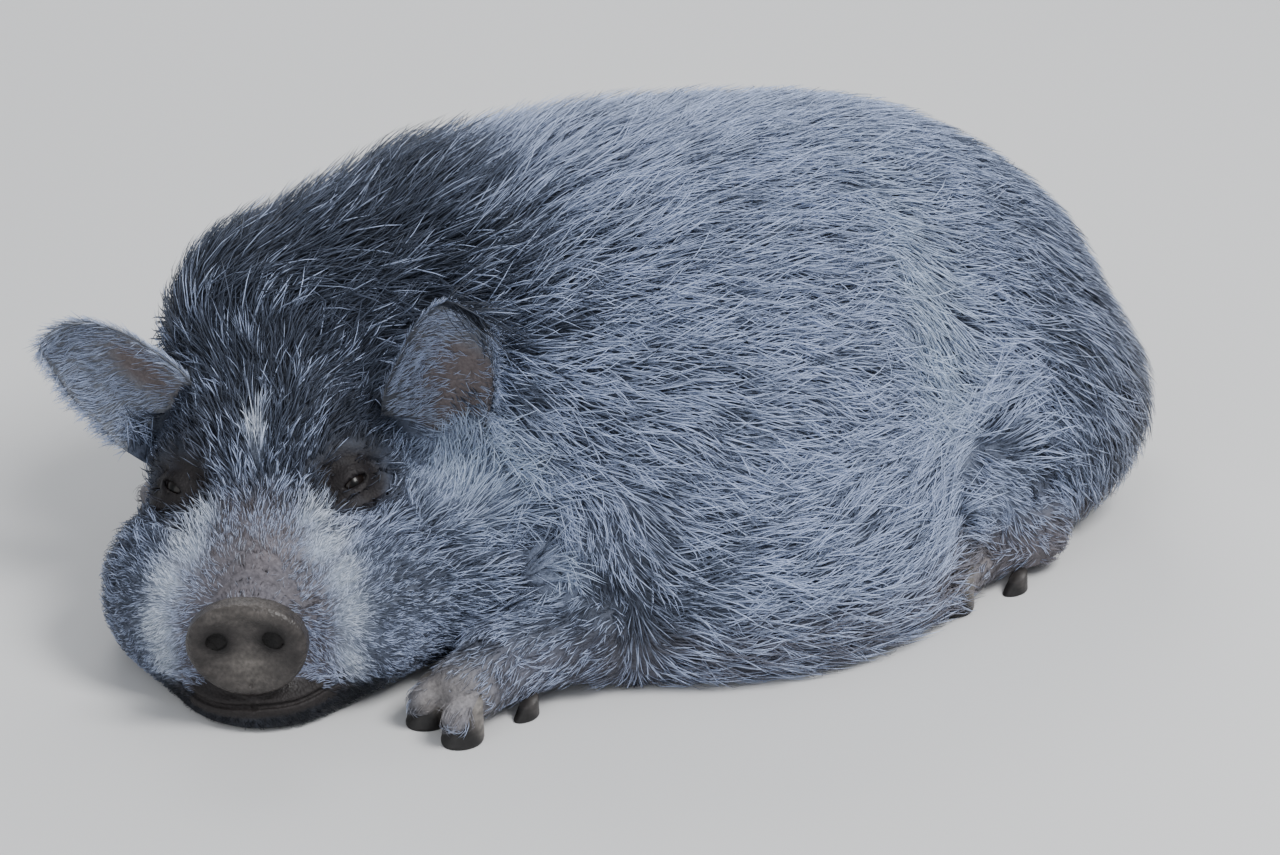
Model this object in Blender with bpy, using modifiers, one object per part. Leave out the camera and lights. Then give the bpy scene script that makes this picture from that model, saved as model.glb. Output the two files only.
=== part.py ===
"""A life-size Vietnamese pot-bellied pig, lying on its belly with its head turned to its left.

The pig faces -X, its left side is -Y, and the floor is z = 0. All sizes are in metres.
The flesh is one blended form made from named masses, parted into head, neck, torso and thighs by thin cuts.
The bristly coat is flat, tapered locks laid along its lie and fused to the part that they grow from.
"""
import math
import random

import bmesh
import bpy
import numpy as np
from mathutils import Euler, Matrix, Vector

# Driving dimensions of the lying animal, to the skin under the coat
TRUNK_WIDTH = 0.422
TRUNK_HEIGHT = 0.267
HEAD_WIDTH = 0.194
DISC_WIDTH = 0.074
DISC_HEIGHT = 0.064
DISC_DEPTH = 0.013
DISC_MIDDLE_Z = 0.056
EYE_RADIUS = 0.0105
DISC_CLEFT = 0.0020
NOSTRIL_AT = (0.001, 0.0165, 0.064)
NOSTRIL_RADII = (0.0085, 0.0068, 0.0056)
LID_THICKNESS = 0.0030
EYE_OPENING = (0.0092, 0.0052, 0.0075)
HOOF_LENGTH = 0.036
HOOF_WIDTH = 0.0245
HOOF_HEIGHT = 0.030
HOOF_APART = 0.0264
DEWCLAW_LENGTH = 0.020
DEWCLAW_WIDTH = 0.012
DEWCLAW_HEIGHT = 0.014
DEWCLAW_BEHIND = 0.040
DEWCLAW_APART = 0.049
EAR_WIDTH = 0.068
EAR_THICKNESS = 0.0040
GAP = 0.0003
SLIVER = 0.00004

# The head stands on its jaw. Its own frame has x forward to the disc, y to its left and z up.
HEAD_AT = (-0.332, -0.128, 0.0)
HEAD_YAW = math.radians(180 + 58.4)
HEAD_PITCH = math.radians(1.5)
HEAD_ROLL = math.radians(4.7)

# Places in the head's own frame, for its left side
EYE_AT = (-0.119, 0.053, 0.103)
WHORL_AT = (-0.116, 0.0, 0.139)
MOUTH_ROUTE = [(0.006, 0.0, 0.020), (0.002, 0.028, 0.020), (-0.018, 0.052, 0.021), (-0.060, 0.068, 0.022)]
# Each lip's height over the line of the mouth and its thickest radius
LIPS = ((0.0042, 0.0036), (-0.0042, 0.0034))
MOUTH_DEPTHS = (0.0017, 0.0011)
# Each ear's base, tip, length and how far its cup faces sideways, the right one first
EARS = {
    -1: ((-0.176, -0.070, 0.126), (-0.152, -0.130, 0.209), 0.094, -0.22),
    1: ((-0.163, 0.100, 0.114), (-0.139, 0.137, 0.220), 0.106, -0.12),
}

# Mesh fineness
FLESH_VOXEL = 0.0075
HEAD_VOXEL = 0.0045
LEG_VOXEL = 0.005
TORSO_TRIANGLES = 1500
HEAD_TRIANGLES = 1900
LEG_TRIANGLES = 260
THROWN_ROOTS = 6000
ROOT_MARGIN = 0.004
TIP_MARGIN = 0.002
SHORTEST_LOCK = 0.45

# The coat's locks on each part: length, width, spacing along and across the lie, and rise of the tips
COATS = {
    "torso": (0.100, 0.052, 0.060, 0.048, 0.0115),
    "neck": (0.078, 0.042, 0.046, 0.040, 0.0145),
    "thigh_left": (0.070, 0.042, 0.044, 0.040, 0.0100),
    "thigh_right": (0.070, 0.042, 0.044, 0.040, 0.0100),
    "head": (0.046, 0.026, 0.030, 0.027, 0.0065),
}
TAIL_LOCKS = 5
TAIL_LOCK_LENGTH = 0.034
TAIL_SEED = 11
COAT_SEED = 31
EAR_CLEARING = 0.040
LOCK_THICKNESS = 0.0036
LOCK_ROOT_DEPTH = 0.0050


def clear_scene():
    for obj in list(bpy.data.objects):
        bpy.data.objects.remove(obj)


def new_collection(name):
    collection = bpy.data.collections.new(name)
    bpy.context.scene.collection.children.link(collection)
    return collection


def turned(yaw, pitch=0.0, roll=0.0):
    return np.array(Euler((roll, pitch, yaw), "XYZ").to_matrix())


HEAD_AXES = turned(HEAD_YAW, HEAD_PITCH, HEAD_ROLL)


def from_head(point):
    """A point of the head's own frame, in the animal's frame."""
    return HEAD_AXES @ np.array(point, float) + np.array(HEAD_AT)


def to_head(points):
    return (points - np.array(HEAD_AT)) @ HEAD_AXES


class Ball:
    """An ellipsoid of flesh: its centre, its three radii and the way it is turned."""

    def __init__(self, centre, radii, yaw=0.0, pitch=0.0, roll=0.0, blend=0.03, axes=None):
        self.centre = np.array(centre, float)
        self.radii = np.array(radii, float)
        self.axes = turned(*(math.radians(a) for a in (yaw, pitch, roll))) if axes is None else axes
        self.blend = blend

    def distance(self, points):
        local = (points - self.centre) @ self.axes
        unit = np.linalg.norm(local / self.radii, axis=1)
        slope = np.linalg.norm(local / self.radii**2, axis=1)
        return unit * (unit - 1) / np.maximum(slope, 1e-9)

    def add_to(self, mesh, grow=0.0):
        matrix = Matrix(self.axes).to_4x4() @ Matrix.Diagonal((*(self.radii + grow), 1))
        matrix.translation = Vector(self.centre)
        bmesh.ops.create_uvsphere(mesh, u_segments=24, v_segments=14, radius=1, matrix=matrix)


class Limb:
    """A tapered length of flesh between two points, round at both ends."""

    def __init__(self, start, end, start_radius, end_radius, blend=0.02):
        self.start = np.array(start, float)
        self.end = np.array(end, float)
        self.radii = (start_radius, end_radius)
        self.blend = blend

    def distance(self, points):
        along = self.end - self.start
        share = np.clip((points - self.start) @ along / (along @ along), 0, 1)
        nearest = self.start + share[:, None] * along
        radius = self.radii[0] + (self.radii[1] - self.radii[0]) * share
        return np.linalg.norm(points - nearest, axis=1) - radius

    def add_to(self, mesh, grow=0.0):
        length = float(np.linalg.norm(self.end - self.start))
        count = max(2, round(length / (0.5 * min(self.radii))))
        for share in np.linspace(0, 1, count + 1):
            centre = self.start + (self.end - self.start) * share
            radius = self.radii[0] + (self.radii[1] - self.radii[0]) * share
            matrix = Matrix.Translation(Vector(centre)) @ Matrix.Scale(radius + grow, 4)
            bmesh.ops.create_uvsphere(mesh, u_segments=14, v_segments=8, radius=1, matrix=matrix)


def head_ball(centre, radii, pitch=0.0, blend=0.02):
    tilt = turned(0, math.radians(pitch))
    return Ball(from_head(centre), radii, blend=blend, axes=HEAD_AXES @ tilt)


def trunk_masses():
    """The trunk's named masses, from the barrel to the thighs."""
    half = TRUNK_WIDTH / 2
    return {
        "barrel": Ball((0.022, 0, 0.49 * TRUNK_HEIGHT), (0.178, 0.90 * half, 0.51 * TRUNK_HEIGHT), blend=0.04),
        "belly": Ball((0.018, -0.018, 0.036), (0.205, half, 0.120), blend=0.05),
        "shoulder": Ball((-0.045, 0.028, 0.130), (0.114, 0.156, 0.124), blend=0.035),
        "rump": Ball((0.176, 0, 0.098), (0.138, 0.150, 0.116), blend=0.05),
        "loin": Ball((0.124, 0, 0.124), (0.134, 0.140, 0.126), blend=0.05),
        "throat": Ball((-0.165, -0.035, 0.050), (0.100, 0.105, 0.056), blend=0.03),
        "neck": Limb((-0.120, 0.076, 0.144), (-0.212, 0.088, 0.140), 0.105, 0.080, blend=0.035),
        "thigh_left": Ball((0.200, -0.092, 0.074), (0.104, 0.072, 0.084), yaw=-8, blend=0.03),
        "thigh_right": Ball((0.200, 0.092, 0.074), (0.104, 0.072, 0.084), yaw=8, blend=0.03),
    }


def head_masses():
    half = HEAD_WIDTH / 2
    masses = [
        head_ball((-0.170, 0, 0.100), (0.060, 0.070, 0.060), blend=0.03),
        head_ball((-0.108, 0, 0.074), (0.054, 0.052, 0.040), blend=0.025),
        head_ball((-0.066, 0, 0.055), (0.056, 0.040, 0.033), blend=0.02),
        head_ball((-0.062, 0, 0.010), (0.064, 0.060, 0.032), blend=0.02),
    ]
    masses.append(head_ball((-0.104, 0.041 - half, 0.042), (0.070, 0.047, 0.051), blend=0.025))
    masses.append(head_ball((-0.091, half - 0.034, 0.038), (0.069, 0.049, 0.047), blend=0.025))
    for side in (-1, 1):
        masses.append(head_ball((-0.146, side * 0.045, 0.092), (0.036, 0.028, 0.028), blend=0.02))
    return masses


def core_masses():
    return list(trunk_masses().values()) + head_masses()


def face_masses():
    """The head with the masses that it blends into."""
    trunk = trunk_masses()
    return [trunk[name] for name in ("shoulder", "neck", "throat")] + head_masses()


def foreleg_masses(side, elbow, wrist, foot):
    """A foreleg folded on the floor, from the elbow by the wrist to the foot."""
    shoulder = (elbow[0] + 0.020, elbow[1] - side * 0.030, elbow[2] + 0.045)
    return [
        Limb(shoulder, elbow, 0.048, 0.036, blend=0.02),
        Limb(elbow, wrist, 0.035, 0.024, blend=0.015),
        Limb(wrist, foot, 0.023, 0.022, blend=0.012),
    ]


def hindleg_masses(side, hock, foot):
    """The lower hind leg, flat along the floor from the hock forward to the foot."""
    shank = (hock[0] - 0.050, hock[1] - side * 0.004, 0.060)
    return [
        Limb(shank, hock, 0.034, 0.027, blend=0.02),
        Limb(hock, foot, 0.026, 0.0195, blend=0.012),
    ]


LEGS = {
    "foreleg_left": foreleg_masses(-1, (-0.105, -0.158, 0.036), (-0.185, -0.163, 0.026), (-0.212, -0.172, 0.022)),
    "foreleg_right": foreleg_masses(1, (-0.118, 0.150, 0.036), (-0.215, 0.148, 0.026), (-0.262, 0.140, 0.022)),
    "hindleg_left": hindleg_masses(-1, (0.190, -0.160, 0.027), (0.134, -0.172, 0.021)),
    "hindleg_right": hindleg_masses(1, (0.190, 0.160, 0.027), (0.134, 0.172, 0.021)),
}


def smooth_min(first, second, blend):
    share = np.clip(0.5 + 0.5 * (second - first) / blend, 0, 1)
    return second + (first - second) * share - blend * share * (1 - share)


def smooth_step(values, start, end):
    share = np.clip((values - start) / (end - start), 0, 1)
    return share * share * (3 - 2 * share)


def flesh_distance(points, masses, grow=0.0):
    """Distance to the blended flesh, negative inside, with the floor as a flat underneath."""
    distance = masses[0].distance(points)
    for mass in masses[1:]:
        distance = smooth_min(distance, mass.distance(points), mass.blend)
    return -smooth_min(grow - distance, points[:, 2], 0.004)


def slope_of(points, masses, grow, step=0.0008):
    slopes = []
    for axis in np.eye(3):
        ahead = flesh_distance(points + step * axis, masses, grow)
        behind = flesh_distance(points - step * axis, masses, grow)
        slopes.append((ahead - behind) / (2 * step))
    return np.stack(slopes, 1)


def onto_flesh(points, masses, grow=0.0, rounds=6):
    """The points moved along the slope of the field onto its surface."""
    points = points.copy()
    for _ in range(rounds):
        slope = slope_of(points, masses, grow)
        length = np.maximum(np.sum(slope * slope, axis=1), 0.05)
        points -= slope * (flesh_distance(points, masses, grow) / length)[:, None]
    return points


def coordinates(mesh):
    flat = np.empty(len(mesh.vertices) * 3, np.float32)
    mesh.vertices.foreach_get("co", flat)
    return flat.reshape(-1, 3).astype(float)


def set_coordinates(mesh, points):
    mesh.vertices.foreach_set("co", points.astype(np.float32).ravel())
    mesh.update()


def applied(obj, modifiers):
    """The object with these modifiers applied to its mesh. Each is (type, settings)."""
    for kind, settings in modifiers:
        modifier = obj.modifiers.new(kind.title(), kind)
        for name, value in settings.items():
            setattr(modifier, name, value)
    evaluated = obj.evaluated_get(bpy.context.evaluated_depsgraph_get())
    mesh = bpy.data.meshes.new_from_object(evaluated)
    obj.modifiers.clear()
    old = obj.data
    obj.data = mesh
    bpy.data.meshes.remove(old)
    return obj


def mesh_object(name, mesh, collection):
    data = bpy.data.meshes.new(name)
    mesh.to_mesh(data)
    mesh.free()
    obj = bpy.data.objects.new(name, data)
    collection.objects.link(obj)
    return obj


def copy_of(obj, name, collection):
    twin = bpy.data.objects.new(name, obj.data.copy())
    twin.matrix_world = obj.matrix_world
    collection.objects.link(twin)
    return twin


def remove(objects):
    for obj in objects:
        bpy.data.objects.remove(obj)


def combined(obj, operation, other, solver="MANIFOLD"):
    """The Boolean of an object with another, which is left in place."""
    settings = {"operation": operation, "object": other, "solver": solver}
    return applied(obj, [("BOOLEAN", settings)])


def cut_by(obj, cutters):
    for cutter in cutters:
        combined(obj, "DIFFERENCE", cutter)
        bpy.data.objects.remove(cutter)
    return obj


def flesh_object(name, masses, voxel, collection, grow=0.0):
    """One closed skin round all the masses, remeshed twice and drawn onto the blended surface."""
    mesh = bmesh.new()
    for mass in masses:
        mass.add_to(mesh, grow)
    obj = mesh_object(name, mesh, collection)
    for size in (1.6 * voxel, voxel):
        applied(obj, [("REMESH", {"mode": "VOXEL", "voxel_size": size})])
        set_coordinates(obj.data, onto_flesh(coordinates(obj.data), masses, grow))
    return obj


def thinned(obj, triangles):
    """The object decimated to about this many triangles, with its underside pressed flat on the floor."""
    ratio = triangles / (2 * len(obj.data.polygons))
    applied(obj, [("TRIANGULATE", {}), ("DECIMATE", {"ratio": ratio})])
    points = coordinates(obj.data)
    points[:, 2] = np.where(points[:, 2] < 0.0012, 0, points[:, 2])
    set_coordinates(obj.data, points)
    return obj


def grown_by(obj, distance, collection):
    """A copy of a closed object pushed out along its normals, to cut its neighbours clear of it."""
    twin = copy_of(obj, obj.name + "_room", collection)
    mesh = bmesh.new()
    mesh.from_mesh(twin.data)
    mesh.normal_update()
    for vertex in mesh.verts:
        vertex.co += vertex.normal * distance * vertex.calc_shell_factor()
    mesh.to_mesh(twin.data)
    mesh.free()
    twin.hide_render = True
    twin.display_type = "WIRE"
    return twin


def kept_side(obj, point, normal):
    """The object cut by a plane and capped there, keeping the side that the normal points to."""
    mesh = bmesh.new()
    mesh.from_mesh(obj.data)
    everything = mesh.verts[:] + mesh.edges[:] + mesh.faces[:]
    cut = bmesh.ops.bisect_plane(
        mesh, geom=everything, dist=1e-6, plane_co=Vector(point), plane_no=-Vector(normal), clear_outer=True
    )
    rim = [item for item in cut["geom_cut"] if isinstance(item, bmesh.types.BMEdge)]
    bmesh.ops.holes_fill(mesh, edges=[edge for edge in rim if edge.is_boundary])
    bmesh.ops.triangulate(mesh, faces=mesh.faces[:])
    mesh.to_mesh(obj.data)
    mesh.free()
    return obj


def largest_shell(obj):
    """The object with only its largest closed surface."""
    mesh = bmesh.new()
    mesh.from_mesh(obj.data)
    mesh.faces.ensure_lookup_table()
    left = set(mesh.faces)
    shells = []
    while left:
        stack = [left.pop()]
        shell = []
        while stack:
            face = stack.pop()
            shell.append(face)
            for edge in face.edges:
                for other in edge.link_faces:
                    if other in left:
                        left.remove(other)
                        stack.append(other)
        shells.append(shell)
    shells.sort(key=lambda shell: sum(face.calc_area() for face in shell))
    extra = [face for shell in shells[:-1] for face in shell]
    bmesh.ops.delete(mesh, geom=extra, context="FACES")
    mesh.to_mesh(obj.data)
    mesh.free()
    return obj


def without_slivers(obj):
    """The object with its shortest edges merged away, where that leaves it closed."""
    mesh = bmesh.new()
    mesh.from_mesh(obj.data)
    bmesh.ops.dissolve_degenerate(mesh, dist=SLIVER, edges=mesh.edges[:])
    bmesh.ops.triangulate(mesh, faces=mesh.faces[:])
    if all(edge.is_manifold for edge in mesh.edges):
        mesh.to_mesh(obj.data)
    mesh.free()
    return obj


# The flesh is parted by ellipsoids that take out the head, the neck and the thighs.
# Each is (centre, radii, yaw, pitch), and the head's is in its own frame.
HEAD_CUT = ((-0.060, 0.0, 0.085), (0.142, 0.130, 0.160))
NECK_CUT = ((-0.225, 0.030, 0.115), (0.115, 0.175, 0.190), 20)
THIGH_CUT = ((0.206, 0.156, 0.072), (0.116, 0.086, 0.108), 10, 25)


def cutter_ball(name, centre, radii, axes, grow, collection):
    obj = ball_object(name, centre, [radius + grow for radius in radii], axes, collection, 20, 12)
    obj.hide_render = True
    obj.display_type = "WIRE"
    return obj


def part_cutter_shape(name):
    """The ellipsoid that parts the named piece of flesh."""
    if name == "head":
        return Ball(from_head(HEAD_CUT[0]), HEAD_CUT[1], axes=HEAD_AXES)
    if name == "neck":
        return Ball(NECK_CUT[0], NECK_CUT[1], yaw=NECK_CUT[2])
    centre, radii, yaw, pitch = THIGH_CUT
    side = -1 if name.endswith("left") else 1
    return Ball((centre[0], side * centre[1], centre[2]), radii, yaw=-side * yaw, pitch=pitch)


def part_cutter(name, grow, collection):
    shape = part_cutter_shape(name)
    return cutter_ball(name + "_cut", shape.centre, shape.radii, shape.axes, grow, collection)


PARTED = ("head", "neck", "thigh_left", "thigh_right")


def cut_distance(points, name):
    """Distance of the points from the ellipsoid that parts a piece, negative inside it."""
    room = part_cutter_shape(name)
    return room.distance(points)


def margin_inside(points, name):
    """How far the points lie inside the piece's share of the flesh."""
    if name == "torso":
        return np.min([cut_distance(points, other) for other in PARTED], axis=0)
    inside = -cut_distance(points, name)
    if name == "neck":
        inside = np.minimum(inside, cut_distance(points, "head"))
    return inside


def lie_of_coat(points):
    """The way that the coat lies: back from the poll, down the flank and rump, and out from the forehead."""
    lie = np.tile(np.array((1.0, 0.0, -0.30)), (len(points), 1))
    rump = smooth_step(points[:, 0], 0.14, 0.28)[:, None]
    lie = lie * (1 - rump) + np.array((0.25, 0.0, -1.0)) * rump
    low = smooth_step(-points[:, 2], -0.09, -0.03)[:, None]
    lie = lie * (1 - low) + np.array((1.0, 0.0, -0.05)) * low
    local = to_head(points)
    from_whorl = local - np.array(WHORL_AT)
    cheek = smooth_step(-local[:, 2], -0.105, -0.070)[:, None]
    swept = np.array((-1.0, 0.0, 0.15)) * (1 - cheek) + np.array((-1.0, 0.0, -0.45)) * cheek
    facing = from_whorl / np.linalg.norm(from_whorl, axis=1)[:, None] + 0.8 * swept
    head_share = smooth_step(-cut_distance(points, "head"), -0.045, 0.010)[:, None]
    lie = lie * (1 - head_share) + (facing @ HEAD_AXES.T) * head_share
    return lie / np.linalg.norm(lie, axis=1)[:, None]


def along_skin(points, ways, masses):
    """The ways turned into the skin at the points, as unit vectors, with the skin's normals."""
    normals = slope_of(points, masses, 0.0)
    normals /= np.linalg.norm(normals, axis=1)[:, None]
    flat = ways - normals * np.sum(ways * normals, axis=1)[:, None]
    return flat / np.maximum(np.linalg.norm(flat, axis=1), 1e-6)[:, None], normals


def grows_hair(points, name):
    """Where the locks grow: clear of the floor and, on the head, of the face, eyes and ears."""
    bare = points[:, 2] < 0.030
    if name == "head":
        local = to_head(points)
        face = local[:, 0] + 0.35 * np.abs(local[:, 1]) > -0.095
        mirrored = np.stack([local[:, 0], np.abs(local[:, 1]), local[:, 2]], 1)
        near_eye = np.linalg.norm(mirrored - np.array(EYE_AT), axis=1) < 0.028
        bare |= face | near_eye
    if name in ("head", "neck"):
        for base, tip, *_ in EARS.values():
            foot = 0.75 * np.array(base) + 0.25 * np.array(tip)
            bare |= np.linalg.norm(to_head(points) - foot, axis=1) < EAR_CLEARING
    return ~bare


def lock_roots(body, name, masses, draw):
    """Roots thrown on the piece's skin, each clear of the others by the coat's spacing."""
    spacing = COATS[name][2:4]
    body.data.calc_loop_triangles()
    points = coordinates(body.data)
    corners = points[[triangle.vertices[:] for triangle in body.data.loop_triangles]]
    areas = 0.5 * np.linalg.norm(np.cross(corners[:, 1] - corners[:, 0], corners[:, 2] - corners[:, 0]), axis=1)
    picks = draw.choice(len(areas), THROWN_ROOTS, p=areas / areas.sum())
    first, second = draw.random((2, THROWN_ROOTS))
    fold = first + second > 1
    first[fold], second[fold] = 1 - first[fold], 1 - second[fold]
    chosen = corners[picks]
    thrown = chosen[:, 0] + (chosen[:, 1] - chosen[:, 0]) * first[:, None]
    thrown += (chosen[:, 2] - chosen[:, 0]) * second[:, None]
    thrown = thrown[grows_hair(thrown, name) & (margin_inside(thrown, name) > ROOT_MARGIN)]
    ways, normals = along_skin(thrown, lie_of_coat(thrown), masses)
    kept = []
    for index in range(len(thrown)):
        apart = thrown[kept] - thrown[index] if kept else np.zeros((0, 3))
        along = apart @ ways[index] / spacing[0]
        across = apart @ np.cross(normals[index], ways[index]) / spacing[1]
        deep = apart @ normals[index] / spacing[1]
        if np.all(along**2 + across**2 + deep**2 > 1):
            kept.append(index)
    return thrown[kept]


LOCK_STEPS = (0.0, 0.32, 0.66, 1.0)
LOCK_WIDTHS = (0.55, 1.0, 0.74)


def lock_routes(roots, name, masses, draw):
    """The middle line of each lock along the skin, bent to the lie, and the share of its length it keeps."""
    length = COATS[name][0]
    count = len(roots)
    lengths = length * draw.uniform(0.82, 1.15, count)
    turns = draw.uniform(-0.22, 0.22, count)
    bends = draw.uniform(-0.35, 0.35, count)
    steps = 6
    places = onto_flesh(roots, masses)
    routes = [places]
    ways = []
    kept = np.zeros(count)
    going = np.ones(count, bool)
    for step in range(steps):
        way, normals = along_skin(places, lie_of_coat(places), masses)
        side = np.cross(normals, way)
        angle = turns + bends * (step / steps - 0.5)
        way = way * np.cos(angle)[:, None] + side * np.sin(angle)[:, None]
        ways.append(way)
        places = onto_flesh(places + way * (lengths / steps)[:, None], masses, 0.0, 3)
        going &= margin_inside(places, name) > TIP_MARGIN
        kept += going
        routes.append(places)
    ways.append(ways[-1])
    return np.stack(routes, 1), np.stack(ways, 1), kept / steps


def route_at(routes, ways, share):
    """Places and ways along each route at its own share of the length."""
    steps = routes.shape[1] - 1
    position = np.clip(share, 0, 1) * steps
    first = np.minimum(position.astype(int), steps - 1)
    part = (position - first)[:, None]
    rows = np.arange(len(routes))
    places = routes[rows, first] * (1 - part) + routes[rows, first + 1] * part
    return places, ways[rows, first]


def make_locks(body, name, masses, seed, collection):
    """Flat, tapered locks over a piece: each a closed, three-sided blade sunk at its root, free at its tip."""
    draw = np.random.default_rng(seed)
    roots = lock_roots(body, name, masses, draw)
    routes, ways, kept = lock_routes(roots, name, masses, draw)
    long_enough = kept > SHORTEST_LOCK
    routes, ways, kept = routes[long_enough], ways[long_enough], kept[long_enough]
    width, rise = COATS[name][1], COATS[name][4]
    widths = width * draw.uniform(0.85, 1.15, len(routes))
    rings = []
    for share, wide in zip(LOCK_STEPS, LOCK_WIDTHS):
        middle, way = route_at(routes, ways, kept * share)
        normals = along_skin(middle, way, masses)[1]
        side = np.cross(normals, way)
        height = -LOCK_ROOT_DEPTH + (rise + LOCK_ROOT_DEPTH - LOCK_THICKNESS) * share**0.8
        half = side * (0.5 * wide * widths)[:, None]
        low = height - 0.4 * LOCK_THICKNESS
        left = onto_flesh(middle - half, masses, low, 4)
        right = onto_flesh(middle + half, masses, low, 4)
        ridge = onto_flesh(middle, masses, height + 0.6 * LOCK_THICKNESS, 3)
        rings.append(np.stack([left, right, ridge], 1))
    tips = onto_flesh(route_at(routes, ways, kept)[0], masses, rise, 3)
    locks = []
    for index in range(len(routes)):
        mesh = bmesh.new()
        loops = []
        for ring in rings:
            corners = ring[index].copy()
            corners[:, 2] = np.maximum(corners[:, 2], 0.0015)
            loops.append([mesh.verts.new(corner) for corner in corners])
        tip = mesh.verts.new((tips[index][0], tips[index][1], max(tips[index][2], 0.003)))
        mesh.faces.new(loops[0])
        for lower, upper in zip(loops, loops[1:]):
            for corner in range(3):
                after = (corner + 1) % 3
                mesh.faces.new((lower[corner], lower[after], upper[after]))
                mesh.faces.new((lower[corner], upper[after], upper[corner]))
        for corner in range(3):
            mesh.faces.new((loops[-1][corner], loops[-1][(corner + 1) % 3], tip))
        bmesh.ops.recalc_face_normals(mesh, faces=mesh.faces[:])
        locks.append(mesh_object(f"{name}_lock", mesh, collection))
    return locks


def with_locks(body, name, masses, seed):
    """The piece with its locks fused to it in one union."""
    collection = new_collection(name + "_locks")
    locks = make_locks(body, name, masses, seed, collection)
    settings = {"operation": "UNION", "operand_type": "COLLECTION", "collection": collection, "solver": "MANIFOLD"}
    applied(body, [("BOOLEAN", settings)])
    remove(locks)
    bpy.data.collections.remove(collection)
    return largest_shell(body)


def kept_inside(obj, name, cutters):
    room = part_cutter(name, 0, cutters)
    combined(obj, "INTERSECT", room)
    bpy.data.objects.remove(room)
    return largest_shell(obj)


def make_flesh(parts, cutters):
    """The head, neck, thighs and trunk with their coats, GAP apart at their cuts, and the room they take."""
    torso = thinned(flesh_object("torso", core_masses(), FLESH_VOXEL, parts), TORSO_TRIANGLES)
    head = thinned(flesh_object("head", face_masses(), HEAD_VOXEL, parts), HEAD_TRIANGLES)
    rooms = [grown_by(torso, GAP, cutters), grown_by(head, GAP, cutters)]
    flesh = {"head": head}
    for name in PARTED[1:]:
        flesh[name] = copy_of(torso, name, parts)
    flesh["torso"] = torso
    for seed, (name, body) in enumerate(flesh.items()):
        masses = face_masses() if name == "head" else core_masses()
        with_locks(body, name, masses, COAT_SEED + seed)
    for name in PARTED:
        kept_inside(flesh[name], name, cutters)
    cut_by(flesh["neck"], [part_cutter("head", GAP, cutters)])
    cut_by(torso, [part_cutter(name, GAP, cutters) for name in PARTED])
    for name in ("neck", "torso"):
        largest_shell(flesh[name])
    return flesh, rooms


def ball_object(name, centre, radii, axes, collection, segments=14, rings=8):
    mesh = bmesh.new()
    matrix = Matrix.Translation(Vector(centre)) @ Matrix(axes).to_4x4() @ Matrix.Diagonal((*radii, 1))
    bmesh.ops.create_uvsphere(mesh, u_segments=segments, v_segments=rings, radius=1, matrix=matrix)
    return mesh_object(name, mesh, collection)


def tube_object(name, points, radii, collection, sides=2):
    """A tapered tube along a smooth curve through the points, as a closed mesh."""
    curve = bpy.data.curves.new(name, "CURVE")
    curve.dimensions = "3D"
    curve.bevel_depth = 1.0
    curve.bevel_resolution = sides
    curve.use_fill_caps = True
    spline = curve.splines.new("POLY")
    spline.points.add(len(points) - 1)
    for item, point, radius in zip(spline.points, points, radii):
        item.co = (*point, 1)
        item.radius = radius
    obj = bpy.data.objects.new(name + "_curve", curve)
    collection.objects.link(obj)
    mesh = bpy.data.meshes.new_from_object(obj.evaluated_get(bpy.context.evaluated_depsgraph_get()))
    body = bmesh.new()
    body.from_mesh(mesh)
    bmesh.ops.remove_doubles(body, verts=body.verts[:], dist=0.00001)
    bmesh.ops.recalc_face_normals(body, faces=body.faces[:])
    bpy.data.objects.remove(obj)
    bpy.data.meshes.remove(mesh)
    return mesh_object(name, body, collection)


def smooth_path(points, count):
    """Points spaced along a Catmull-Rom curve through the given ones."""
    points = np.array(points, float)
    ends = np.vstack([2 * points[0] - points[1], points, 2 * points[-1] - points[-2]])
    path = []
    for position in np.linspace(0, len(points) - 1, count):
        first = min(int(position), len(points) - 2)
        t = position - first
        a, b, c, d = ends[first : first + 4]
        path.append(
            0.5 * (2 * b + (c - a) * t + (2 * a - 5 * b + 4 * c - d) * t**2 + (3 * b - a - 3 * c + d) * t**3)
        )
    return np.array(path)


def make_eye(side, head, parts, cutters):
    """An eyeball set in the head between two lids, with the almond opening of a small, deep eye."""
    name = "eye_left" if side > 0 else "eye_right"
    place = from_head((EYE_AT[0], side * EYE_AT[1], EYE_AT[2]))
    skin = onto_flesh(place[None], face_masses())
    outward = slope_of(skin, face_masses(), 0.0)[0]
    outward /= np.linalg.norm(outward)
    across = np.cross(HEAD_AXES[:, 2], outward)
    across /= np.linalg.norm(across)
    axes = np.stack([across, np.cross(outward, across), outward], 1)
    centre = skin[0] - outward * 0.82 * EYE_RADIUS
    lid = ball_object(name + "_lid", centre, (EYE_RADIUS + LID_THICKNESS,) * 3, axes, cutters)
    combined(head, "UNION", lid)
    room = ball_object(name + "_room", centre, (EYE_RADIUS + GAP,) * 3, axes, cutters, 12, 8)
    opening = ball_object(name + "_opening", centre + outward * EYE_RADIUS, EYE_OPENING, axes, cutters, 12, 6)
    bpy.data.objects.remove(lid)
    combined(opening, "UNION", room)
    bpy.data.objects.remove(room)
    cut_by(head, [opening])
    return ball_object(name, centre, (EYE_RADIUS,) * 3, axes, parts, 12, 8)


def disc_outline(angle):
    """The disc's rim, widest at the nostrils and narrower down to the mouth."""
    across = math.cos(angle)
    up = math.sin(angle)
    taper = 1 + 0.10 * up
    return across * taper * DISC_WIDTH / 2, up * DISC_HEIGHT / 2


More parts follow.
